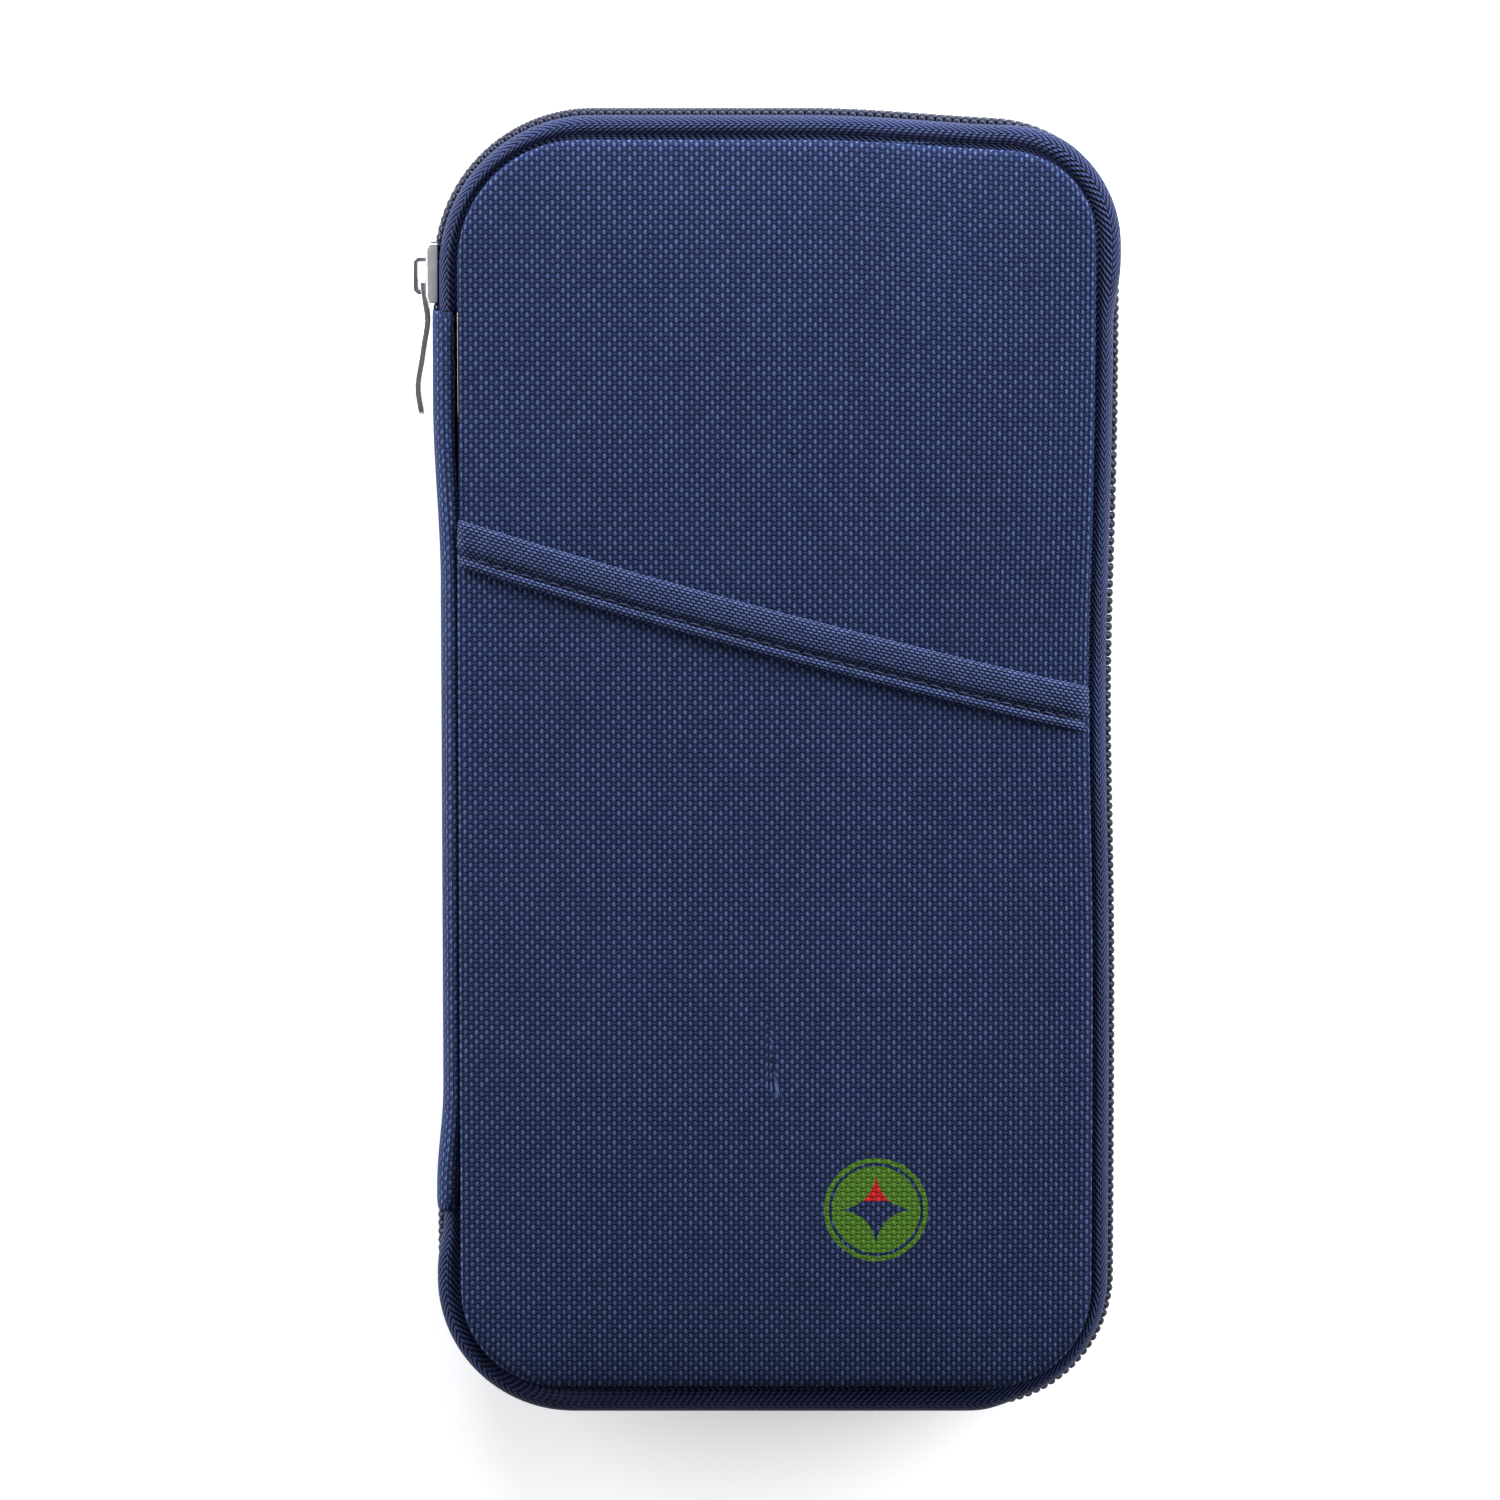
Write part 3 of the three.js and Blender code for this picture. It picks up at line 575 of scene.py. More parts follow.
def make_lining(name, dark, light, pitch):
    finish = Finish(name, Specular_IOR_Level=0.06)
    u, v = finish.cloth()
    warp, weft = u.wave(pitch), v.wave(pitch)
    check = ((u / pitch).floor() + (v / pitch).floor()) * 0.5
    over = check.fract() * 2.0
    height = over * (1.0 - warp * warp) + (1.0 - over) * (1.0 - weft * weft)
    # The colour follows the weave's height: painted shade where the yarns dip, with random tone from a
    # soft cloud.
    tone = (height * 0.8 + finish.cloud(35.0) * 0.5).clip()
    finish.feed(Base_Color=finish.mix(tone, dark, light), Roughness=0.78 - 0.12 * height)
    finish.bump(height, 0.00010, 0.6)
    return finish.material


def make_elastic():
    finish = Finish("ribbed_elastic", Specular_IOR_Level=0.10)
    u, v = finish.cloth()
    height = (1.0 - u.wave(ELASTIC_RIB)) * (0.7 + 0.3 * v.wave(ELASTIC_KNIT))
    # The colour comes from the ribs' height alone: painted shade in the grooves and lighter rib tops.
    finish.feed(
        Base_Color=finish.mix(height, (0.006, 0.007, 0.012), (0.030, 0.033, 0.048)),
        Roughness=0.85 - 0.2 * height,
    )
    finish.bump(height, 0.00025, 0.8)
    return finish.material


TAPE = make_tape()
BINDING = make_binding()
LINING = make_lining("lining_cloth", (0.012, 0.016, 0.045), (0.045, 0.058, 0.125), 0.42)
BOARD = make_lining("grey_board", (0.16, 0.17, 0.18), (0.24, 0.25, 0.26), 0.8)
ELASTIC = make_elastic()
print("woven finishes:", len(bpy.data.materials))

# %% [markdown]
# The hard pieces are few: nylon coil, polished zinc and clear film. Nylon is dark
# and glossy with a faint mottle. The zinc is bright metal with fine scratches
# and a darker bloom where fingers do not polish it. Film is thin clear plastic.

# %% Nylon, metal, film and thread


def make_nylon():
    finish = Finish("nylon_coil", IOR=1.2)
    mottle = finish.noise(finish.place(), 2500.0)
    colour = finish.mix(mottle, (0.002, 0.0025, 0.008), (0.007, 0.009, 0.025))
    finish.feed(Base_Color=colour, Roughness=0.22 + 0.12 * mottle)
    return finish.material


def make_metal(name, dark, light, low, high):
    finish = Finish(name, Metallic=1.0)
    bloom = finish.noise(finish.place(), 260.0, 4.0)
    scratch = finish.noise(finish.place(), 4200.0, 1.0)
    wear = (bloom * 0.75 + scratch * 0.25).clip()
    finish.feed(Base_Color=finish.mix(wear, dark, light), Roughness=low + (high - low) * bloom)
    finish.bump(scratch, 0.00002, 0.25)
    return finish.material


def make_film():
    finish = Finish("clear_film", Roughness=0.12, Specular_IOR_Level=0.6, Coat_Roughness=0.1)
    haze = finish.noise(finish.place(), 90.0)
    finish.feed(
        Base_Color=finish.mix(haze, (0.62, 0.68, 0.72), (0.80, 0.84, 0.86)),
        Alpha=0.22 + 0.12 * haze,
    )
    return finish.material


def make_thread():
    finish = Finish("sewing_thread", Specular_IOR_Level=0.3)
    ply = finish.noise(finish.place(), 3000.0)
    colour = finish.mix(ply, (0.004, 0.006, 0.022), (0.022, 0.030, 0.085))
    finish.feed(Base_Color=colour, Roughness=0.45 + 0.2 * ply)
    return finish.material


NYLON = make_nylon()
ZINC = make_metal("zinc_slider", (0.70, 0.70, 0.72), (0.98, 0.98, 1.00), 0.26, 0.46)
PULL_METAL = make_metal("pull_metal", (0.22, 0.22, 0.22), (0.62, 0.62, 0.62), 0.18, 0.34)
FILM = make_film()
THREAD = make_thread()
print("finishes:", len(bpy.data.materials))

# %% [markdown]
# The camera stands a little above the head end and looks down on the front cover,
# so the head wall and its zip show as a narrow band. A long lens from over a metre
# away keeps the long sides almost parallel. The floor is a plain pale light table,
# faintly lit from below, and low soft boxes at the head and both sides graze the
# weave and catch the rolled edges.

# %% Camera, floor and light
CAMERA_AWAY = 1250.0
TILT = math.radians(6.5)
VIEW_WIDE = 275.6
AIM = (-4.8, 2.4, MID)
FLOOR_Z = -0.3


def add_camera():
    lens = bpy.data.cameras.new("camera")
    lens.sensor_width = 36.0
    lens.lens = 36.0 * CAMERA_AWAY / VIEW_WIDE
    lens.clip_start, lens.clip_end = 0.05, 20.0
    camera = bpy.data.objects.new("camera", lens)
    bpy.context.scene.collection.objects.link(camera)
    back = Vector((0, math.sin(TILT), math.cos(TILT)))
    up = Vector((0, math.cos(TILT), -math.sin(TILT)))
    right = up.cross(back)
    camera.matrix_world = Matrix((right, up, back)).transposed().to_4x4()
    camera.location = (Vector(AIM) + back * CAMERA_AWAY) * MM
    bpy.context.scene.camera = camera


def soft_box(name, place, size, power, colour):
    light = bpy.data.lights.new(name, "AREA")
    light.shape, light.size, light.size_y = "RECTANGLE", size[0], size[1]
    light.energy, light.color = power, colour
    lamp = bpy.data.objects.new(name, light)
    bpy.context.scene.collection.objects.link(lamp)
    lamp.location = place
    lamp.rotation_euler = Vector(place).to_track_quat("Z", "Y").to_euler()


def add_floor():
    finish = Finish(
        "floor_paint", Roughness=0.9, Specular_IOR_Level=0.1,
        Emission_Color=(1.0, 1.0, 1.0, 1.0), Emission_Strength=0.42,
    )
    grain = finish.noise(finish.place(), 6.0)
    finish.feed(Base_Color=finish.mix(grain, (0.86, 0.86, 0.86), (0.90, 0.90, 0.90)))
    reach = 3000.0
    around = ((-reach, -reach), (reach, -reach), (reach, reach), (-reach, reach))
    verts = [(x, y, FLOOR_Z) for x, y in around]
    floor = finish_mesh("floor", verts, [(0, 1, 2, 3)], None, finish.material)


add_camera()
add_floor()
soft_box("light_head", (0.05, 0.72, 0.19), (0.8, 0.18), 21.0, (0.88, 0.95, 1.0))
soft_box("light_left", (-0.80, 0.25, 0.09), (0.9, 0.14), 19.0, (0.97, 0.98, 1.0))
soft_box("light_right", (0.80, 0.35, 0.26), (0.8, 0.22), 19.0, (0.97, 0.98, 1.0))
bpy.context.scene.view_settings.view_transform = "Standard"
world = bpy.data.worlds.new("studio")
world.use_nodes = True
world.node_tree.nodes["Background"].inputs[0].default_value = (0.97, 0.98, 1.0, 1.0)
world.node_tree.nodes["Background"].inputs[1].default_value = 0.28
bpy.context.scene.world = world
print("camera lens", round(bpy.context.scene.camera.data.lens, 1), "mm")

# %% [markdown]
# Each cover is fabric wrapped over foam and a stiff board. Its outlines run from
# the middle of the underside, round the rolled edge, to the middle of the face.
# The foam's swell comes from a short cloth simulation with a little air pressure:
# the rolled edge is pinned, as the seam holds it, and the face is free to rise.
# Only the rise is kept, capped, so the outline stays true.

# %% Padded covers
FACE_FRONT = box_mm("front_cover_fabric")[1][2]
FACE_BACK = box_mm("back_cover_fabric")[0][2]
UNDER = 3.0
SWELL_CAP = 0.75
FILL_FRAMES = 20
FLAT_FROM = 8.2
COVER_LINE = [
    (59.4, UNDER), (30.0, UNDER), (12.0, UNDER), (6.4, UNDER), (5.2, 2.8), (4.85, 2.4), (4.72, 1.95),
    (4.78, 1.6), (5.0, 1.3), (5.4, 1.06), (6.0, 0.88), (7.0, 0.72), (FLAT_FROM, 0.58), (9.6, 0.45),
    (11.4, 0.32), (13.6, 0.20), (16.2, 0.11), (19.2, 0.04), (22.6, 0.0), (26.4, 0.0), (30.6, 0.0),
    (35.2, 0.0), (40.2, 0.0), (45.6, 0.0), (51.0, 0.0), (56.0, 0.0), (59.4, 0.0),
]
STATIONS = wall(2.8)


def cover_outlines(face, outward):
    """Rings of points, and the same rings laid flat for the cloth map."""
    edge = lengths(COVER_LINE)
    flat_at = [inset for inset, _ in COVER_LINE].index(FLAT_FROM)
    rings, flats = [], []
    for k, (inset, depth) in enumerate(COVER_LINE):
        xy = np.array([s(inset) for s in STATIONS])
        rings.append(np.column_stack((xy, np.full(len(xy), face - outward * depth))))
        if k < flat_at:
            out = np.array([s(inset - 0.5) - s(inset) for s in STATIONS])
            out /= np.linalg.norm(out, axis=1)[:, None]
            xy = xy + out * (edge[flat_at] - edge[k] - abs(FLAT_FROM - inset))
        flats.append(xy)
    return rings, flats


def outline_mesh(name, rings, flats, material, closed=True):
    """A piece from stacked outlines, with the flat rings as its cloth map."""
    n = len(rings[0])
    flat = np.concatenate(flats)
    faces = ring_quads(len(rings), n)
    if closed:
        faces.append(tuple(range(n)))
    faces.append(tuple(range(len(flat) - n, len(flat))))
    uv = [[tuple(flat[v]) for v in face] for face in faces]
    return finish_mesh(name, np.concatenate(rings), faces, uv, material)


def fill_with_air(trial, pinned):
    """Gives a piece a cloth simulation with air pressure, held at the pinned points."""
    trial.vertex_groups.new(name="pin").add(pinned, 1.0, "REPLACE")
    cloth = trial.modifiers.new("fill", "CLOTH")
    cloth.settings.quality = 6
    cloth.settings.mass = 0.25
    cloth.settings.tension_stiffness = cloth.settings.compression_stiffness = 18.0
    cloth.settings.bending_stiffness = 0.8
    cloth.settings.use_pressure = True
    cloth.settings.uniform_pressure_force = 4.0
    cloth.settings.vertex_group_mass = "pin"
    cloth.settings.effector_weights.gravity = 0.0
    cloth.collision_settings.use_collision = False


def swell(name, rings, flats, outward):
    """How far each point of the rings rises when the cover is filled."""
    n = len(rings[0])
    free = [depth < UNDER and inset > FLAT_FROM for inset, depth in COVER_LINE]
    trial = outline_mesh(name + "_trial", [settle(r) for r in rings], flats, OXFORD)
    held = [i for i, loose in enumerate(free) if not loose]
    fill_with_air(trial, [v for i in held for v in range(i * n, i * n + n)])
    scene = bpy.context.scene
    for step in range(1, FILL_FRAMES + 1):
        scene.frame_set(step)
    graph = bpy.context.evaluated_depsgraph_get()
    filled = np.array([v.co for v in trial.evaluated_get(graph).data.vertices], float) / MM
    rest = np.array([v.co for v in trial.data.vertices], float) / MM
    raised = (filled - rest)[:, 2] * outward
    scene.frame_set(1)
    bpy.data.objects.remove(trial)
    high = max(float(raised.max()), 1e-6)
    raised = np.clip(raised, 0, None) * min(1.0, SWELL_CAP / high)
    print(name, "simulated rise", round(high, 2), "mm, kept", round(float(raised.max()), 2))
    return [raised[i * n:(i + 1) * n] for i in range(len(rings))]


def make_cover(name, face, outward):
    rings, flats = cover_outlines(face, outward)
    for ring, up in zip(rings, swell(name, rings, flats, outward)):
        ring[:, 2] += outward * up
    rings = [settle(r) for r in rings]
    return outline_mesh(name, rings, flats, OXFORD), rings, flats


front_cover, FRONT_RINGS, FRONT_FLATS = make_cover("front_cover_padded", FACE_FRONT - SWELL_CAP * 0.4, 1)
back_cover = make_cover("back_cover_padded", FACE_BACK + SWELL_CAP, -1)[0]
for cover, side in ((front_cover, "front"), (back_cover, "back")):
    modified(cover, SUBSURF=ONCE)
    hidden = [side + tail for tail in ("_cover_fabric", "_foam_pad", "_stiffener_board")]
    placed(cover, side + "_cover", "oxford_fabric", *hidden)

# %% [markdown]
# The slanted pocket is a second layer of the same cloth, sewn into the cover's
# seam on three sides and free along its slanting mouth. It is the cover's own face
# lifted by a cloth's thickness and cut along the mouth line, so it hugs the
# cover, with a little slack that opens towards the mouth.

# %% Slanted front pocket
BIND_LOW, BIND_HIGH = box_mm("front_pocket_binding")
SLANT = -29.8 / 112.8
MOUTH_MID = 0.5 * (BIND_LOW[1] + BIND_HIGH[1])
MOUTH_SAG = 1.3
MOUTH_SLACK = 0.35
RIM_DEPTH = 2.5
WEAVE_SHIFT = (0.37, 0.9)
POCKET_LIFT = 0.45
CLOTH_T = 0.45


def mouth_y(x):
    return MOUTH_MID + SLANT * x


def pocket_rings():
    """The front cover's rings from its rim inwards, lifted by the pocket's cloth."""
    rim = [depth < RIM_DEPTH for _, depth in COVER_LINE].index(True)
    rings = FRONT_RINGS[rim:]
    lifted = []
    for k, ring in enumerate(rings):
        after = rings[min(k + 1, len(rings) - 1)]
        before = rings[max(k - 1, 0)]
        inward = after - before
        around = np.roll(ring, -1, axis=0) - np.roll(ring, 1, axis=0)
        normal = np.cross(inward, around)
        normal /= np.maximum(np.linalg.norm(normal, axis=1)[:, None], 1e-9)
        normal *= np.where(normal[:, 2:3] < -1e-6, -1, 1)
        below = np.clip(mouth_y(ring[:, 0]) - ring[:, 1], 0, None)
        slack = MOUTH_SLACK * np.exp(-below / 14) * ease((57 - np.abs(ring[:, 0])) / 14)
        lifted.append(ring + normal * (POCKET_LIFT + slack)[:, None])
    return lifted, [f + WEAVE_SHIFT for f in FRONT_FLATS[rim:]]


def make_pocket():
    panel = outline_mesh("front_pocket_cloth", *pocket_rings(), POCKET_CLOTH, closed=False)
    work = bmesh.new()
    work.from_mesh(panel.data)
    everything = work.verts[:] + work.edges[:] + work.faces[:]
    where = Vector((0, mouth_y(0) - 0.5, 0)) * MM
    across = Vector((-SLANT, 1, 0)).normalized()
    bmesh.ops.bisect_plane(work, geom=everything, plane_co=where, plane_no=across, clear_outer=True)
    top = max(work.faces, key=lambda f: f.calc_area())
    if top.normal.z < 0:
        bmesh.ops.reverse_faces(work, faces=work.faces[:])
    work.to_mesh(panel.data)
    work.free()
    return modified(
        panel,
        SOLIDIFY={"thickness": CLOTH_T * MM, "offset": -1.0},
        SUBSURF=ONCE,
    )


pocket = make_pocket()
placed(pocket, "front_cover", "oxford_fabric", "front_pocket_panel")

# %% [markdown]
# A woven tape is folded over the pocket's mouth and sewn down with one row of
# stitches. The stitches sink and leave a groove near its lower edge. It is a
# profile carried across the cover, laid on the cover's height at each place and
# tucked down over the rolled edge at both ends.

# %% Pocket binding
GROOVE = -1.95
MOUTH_WRAP = 1.6
MOUTH_DIP = 1.1
BINDING_LINE = [
    (4.3, -0.75), (4.45, -0.1), (4.2, 0.40), (3.4, 0.66), (2.1, 0.80), (0.6, 0.82), (-0.5, 0.76),
    (-1.25, 0.52), (-1.75, 0.16), (-2.15, 0.16), (-2.6, 0.50), (-3.2, 0.66), (-3.9, 0.58),
    (-4.3, 0.32), (-4.4, -0.1), (-4.3, -0.4),
]


def surface_height(*pieces):
    """A function of x, y that gives the top of these pieces, in millimetres."""
    graph = bpy.context.evaluated_depsgraph_get()
    trees = [BVHTree.FromObject(p, graph) for p in pieces]

    def height(x, y, otherwise):
        found = [t.ray_cast(Vector((x, y, 60.0)) * MM, Vector((0, 0, -1)))[0] for t in trees]
        tops = [hit.z / MM for hit in found if hit is not None]
        return max(tops) if tops else otherwise

    return height


mouth_top = surface_height(front_cover, pocket)


def mouth_path(steps=96):
    """Points across the cover along the pocket's mouth, ends tucked over the edge."""
    half = HALF_W - COVER_IN + 0.05
    flat_half = half - MOUTH_WRAP
    points = []
    for k in range(steps + 1):
        x = -half + 2 * half * k / steps
        sag = MOUTH_SAG * (1 - (x / half) ** 2)
        y = mouth_y(x) - sag + 0.6 * MOUTH_SAG
        inside = min(max(x, -flat_half), flat_half)
        z = max(mouth_top(inside, y - below, FACE_FRONT) for below in (1.0, 2.0, 3.6))
        over = abs(x - inside) / MOUTH_WRAP
        dip = MOUTH_DIP * (1 - math.sqrt(max(1 - over * over, 0)))
        points.append((x, y, z + 0.02 - dip))
    return settle(points)


def carry(path, profile, side):
    """Rings of a profile (across, height) carried along a path; side is its across direction."""
    path = np.array(path, float)
    tangent = np.gradient(path, axis=0)
    tangent /= np.linalg.norm(tangent, axis=1)[:, None]
    side = np.array(side, float) / np.linalg.norm(side)
    rings = []
    for p, t in zip(path, tangent):
        up = np.cross(t, side)
        up /= np.linalg.norm(up)
        rings.append([p + side * a + up * h for a, h in profile])
    return rings


MOUTH = mouth_path()
binding = skin("front_pocket_tape", carry(MOUTH, BINDING_LINE, (0, 1, 0)), BINDING, sag=False)
modified(binding, SUBSURF=ONCE)
placed(binding, "front_cover", "woven_binding", "front_pocket_binding")

# %% [markdown]
# Both halves of the zip tape run round the wall from the seam under the cover's
# edge, over a soft shoulder and down to the coil. The visible part bulges
# outwards, then turns in behind the coil. The back half is the same line mirrored.

# %% Zip tapes
SPINE_LOW, SPINE_HIGH = box_mm("spine_fabric")
HEAD_END, FOOT_END = SPINE_HIGH[1] - 1.6, SPINE_LOW[1] + 1.6
TAPE_LINE = [
    (7.0, 8.62), (5.9, 8.50), (5.2, 7.95), (4.6, 7.60), (4.0, 7.85), (3.4, 8.35), (2.75, 8.25),
    (2.1, 7.45), (1.65, 6.3), (1.5, 5.1), (1.62, 4.2), (1.98, 3.5), (2.3, 2.7), (2.4, 1.7), (2.4, 0.75),
]
TAPE_T = 0.55
HEAD_BULGE = 1.35
FOOT_BULGE = 1.25


def both_sides(line, thickness):
    """A closed profile of even thickness round an open line."""
    line = np.array(line, float)
    run = np.gradient(line, axis=0)
    run /= np.linalg.norm(run, axis=1)[:, None]
    off = np.column_stack((-run[:, 1], run[:, 0])) * thickness / 2
    return np.concatenate((line + off, (line - off)[::-1]))


def bulge(place):
    """How far the front tape swells over the coil, at one head corner and at the foot."""
    x, y = place
    head = HEAD_BULGE * ease((x - 38) / 16) * ease((y - 82) / 12)
    foot = FOOT_BULGE * ease((-84 - y) / 9) * ease((46 - x) / 10)
    return float(head + foot)


def wall_rings(stations, profile, outward):
    """Rings of (inset, height from mid plane) at each station."""
    rings = []
    for s in stations:
        out = bulge(s(0)) if outward > 0 else 0.0
        ring = []
        for inset, h in profile:
            share = float(ease((h - 2.2) / 2.5) * ease((4.6 - inset) / 2.5))
            ring.append((*s(inset - out * share), MID + outward * h))
        rings.append(ring)
    return rings


def make_tape_half(name, outward):
    stations = wall(2.0, HEAD_END, FOOT_END)
    piece = skin(name, wall_rings(stations, both_sides(TAPE_LINE, TAPE_T), outward), TAPE)
    return modified(piece, SUBSURF=ONCE)


for side, outward in (("front", 1), ("back", -1)):
    tape = make_tape_half(side + "_zip_twill", outward)
    placed(tape, side + "_cover", "zip_tape", side + "_zip_tape")

# %% [markdown]
# A coil zip is one nylon wire wound into flattened loops. From outside only the
# outer leg of each loop shows: it starts at the tape, swells at the shoulder and
# ends in a narrower head that hooks between the loops of the other half. One loop
# is modelled with a few dozen faces, and Geometry Nodes repeat it at an even
# pitch. The tree takes a line, an item, its pitch and a small random sway.

# %% A loop of the coil, and the tree that repeats things along a line
PITCH = 1.57
LOOP = [
    # outward, height, half width along the zip, half depth
    (-0.55, 3.15, 0.50, 0.28), (0.25, 3.05, 0.68, 0.38), (0.85, 2.55, 0.75, 0.46),
    (1.05, 1.75, 0.75, 0.50), (1.05, 0.95, 0.64, 0.48), (0.95, 0.25, 0.46, 0.44),
    (0.60, -0.35, 0.40, 0.40), (0.0, -0.50, 0.38, 0.34), (-0.45, -0.1, 0.32, 0.26),
]


def rod(name, stops, sides, material):
    """A bent rod in the Y-Z plane from (y, z, half width, half depth) stops."""
    points = np.array([(0, y, z) for y, z, _, _ in stops], float)
    run = np.gradient(points, axis=0)
    run /= np.linalg.norm(run, axis=1)[:, None]
    rings = []
    for p, t, (_, _, wide, deep) in zip(points, run, stops):
        out = np.cross(t, (1, 0, 0))
        rings.append([p + np.array((c * wide, 0, 0)) + out * s * deep for c, s in turned(sides)])
    return skin(name, rings, material, sag=False)


def repeat_tree():
    tree = bpy.data.node_groups.new("repeat_along_line", "GeometryNodeTree")
    sockets = {}
    wanted = (
        ("Line", "NodeSocketGeometry"), ("Item", "NodeSocketObject"), ("Pitch", "NodeSocketFloat"),
        ("Sway", "NodeSocketFloat"), ("Seed", "NodeSocketInt"), ("Finish", "NodeSocketMaterial"),
    )
    for label, kind in wanted:
        made = tree.interface.new_socket(label, in_out="INPUT", socket_type=kind)
        sockets[label] = made.identifier
    tree.interface.new_socket("Result", in_out="OUTPUT", socket_type="NodeSocketGeometry")

    def node(kind, **settings):
        made = tree.nodes.new(kind)
        for key, value in settings.items():
            setattr(made, key, value)
        return made

    given, result = node("NodeGroupInput"), node("NodeGroupOutput")
    curve = node("GeometryNodeMeshToCurve")
    even = node("GeometryNodeResampleCurve")
    even.mode = "LENGTH"
    tangent = node("GeometryNodeInputTangent")
    lie = node("FunctionNodeAlignRotationToVector", axis="X")
    stand = node("FunctionNodeAlignRotationToVector", axis="Z", pivot_axis="X")
    stand.inputs["Vector"].default_value = (0, 0, 1)
    item = node("GeometryNodeObjectInfo", transform_space="ORIGINAL")
    luck = node("FunctionNodeRandomValue", data_type="FLOAT")
    minus = node("ShaderNodeMath", operation="MULTIPLY")
    minus.inputs[1].default_value = -1.0
    turn = node("FunctionNodeRotateRotation", rotation_space="LOCAL")
    euler = node("FunctionNodeEulerToRotation")
    vector = node("ShaderNodeCombineXYZ")
    place = node("GeometryNodeInstanceOnPoints")
    real = node("GeometryNodeRealizeInstances")
    paint = node("GeometryNodeSetMaterial")
    for start, out, end, into in (
        (given, "Line", curve, "Mesh"), (curve, "Curve", even, "Curve"), (given, "Pitch", even, "Length"),
        (tangent, "Tangent", lie, "Vector"), (lie, "Rotation", stand, "Rotation"),
        (given, "Item", item, "Object"), (given, "Sway", minus, 0), (given, "Seed", luck, "Seed"),
        (vector, "Vector", euler, "Euler"), (stand, "Rotation", turn, "Rotation"),
        (euler, "Rotation", turn, "Rotate By"), (even, "Curve", place, "Points"),
        (item, "Geometry", place, "Instance"), (turn, "Rotation", place, "Rotation"),
        (place, "Instances", real, "Geometry"), (real, "Geometry", paint, "Geometry"),
        (given, "Finish", paint, "Material"), (paint, "Geometry", result, "Result"),
    ):
        tree.links.new(start.outputs[out], end.inputs[into])
    least, most = [s for s in luck.inputs if s.type == "VALUE" and s.enabled]
    number = [s for s in luck.outputs if s.type == "VALUE" and s.enabled][0]
    tree.links.new(minus.outputs[0], least)
    tree.links.new(given.outputs["Sway"], most)
    tree.links.new(number, vector.inputs["Z"])
    return tree, sockets


REPEAT_TREE, REPEAT_INPUTS = repeat_tree()


def repeated(name, path, item, pitch, material, sway=0.0, seed=1):
    """The item repeated along a path in millimetres, as one plain mesh."""
    mesh = bpy.data.meshes.new(name)
    edges = [(k, k + 1) for k in range(len(path) - 1)]
    mesh.from_pydata([tuple(np.array(p) * MM) for p in path], edges, [])
    piece = linked(name, mesh)
    modifier = piece.modifiers.new("repeat", "NODES")
    modifier.node_group = REPEAT_TREE
    settings = {"Item": item, "Pitch": pitch * MM, "Sway": sway, "Seed": seed, "Finish": material}
    for label, value in settings.items():
        modifier[REPEAT_INPUTS[label]] = value
    graph = bpy.context.evaluated_depsgraph_get()
    made = bpy.data.meshes.new_from_object(piece.evaluated_get(graph), depsgraph=graph)
    piece.modifiers.clear()
    piece.data = made
    made.polygons.foreach_set("use_smooth", [True] * len(made.polygons))
    return piece


print("loop stops", len(LOOP))

# %% [markdown]
# The two rows of loops are set half a pitch apart, so their heads interlock along
# the middle of the wall, as the closed zip's do.

# %% Main coil
COIL_IN = 1.57


def coil_path(start):
    """The zip's middle line, from `start` past its head end."""
    stations = wall(1.0, HEAD_END + 1.8 + start, FOOT_END - 1.8)
    return settle([(*s(COIL_IN), MID) for s in stations])


def flipped(piece, name):
    """A copy turned upside down about the line it lies on."""
    mesh = piece.data.copy()
    for v in mesh.vertices:
        v.co.z = -v.co.z
    mesh.flip_normals()
    return linked(name, mesh)


loop_front = rod("loop_front", LOOP, 8, NYLON)
loop_back = flipped(loop_front, "loop_back")
for side, loop, start in (("front", loop_front, 0.0), ("back", loop_back, PITCH / 2)):
    coil = repeated(side + "_coil_loops", coil_path(start), loop, PITCH, NYLON, 0.04, 3)
    placed(coil, side + "_cover", "nylon_coil", side + "_zip_coil")
bpy.data.objects.remove(loop_front)
bpy.data.objects.remove(loop_back)

# %% [markdown]
# The spine is one strip of the cover cloth with a thin board in it. It is pinched
# a little at mid length and flares where the tapes meet it at the ends. Narrow
# creases of the same cloth join it to both covers.

# %% Spine and its creases
SPINE_X = SPINE_LOW[0]
FLARE = 1.25
SPINE_FLAT = 8.0


def spine_face(y):
    """The spine's outer face at height y."""
    head = ease((y - 34) / 32)
    foot = ease((-60 - y) / 18)
    return SPINE_X - FLARE * (head + foot)


def strip(name, profile, low, high, step, material):
    """A closed profile of (x beyond the spine face, height) run along the spine."""
    n = round((high - low) / step)
    rings = []
    for k in range(n + 1):
        y = low + (high - low) * k / n
        pinch = (1 - 0.35 * math.exp(-min(y - low, high - y) / 0.8)) ** 0.15
        face = spine_face(y)
        rings.append([(face + a, y, MID + h * (1 if abs(h) < SPINE_FLAT else pinch)) for a, h in profile])
    made = skin(name, rings, material, sag=False)
    layer = made.data.uv_layers["cloth"]
    flat = np.zeros(len(layer.data) * 2, np.float32)
    layer.data.foreach_get("uv", flat)
    layer.data.foreach_set("uv", flat.reshape(-1, 2)[:, ::-1].reshape(-1).copy())
    return made


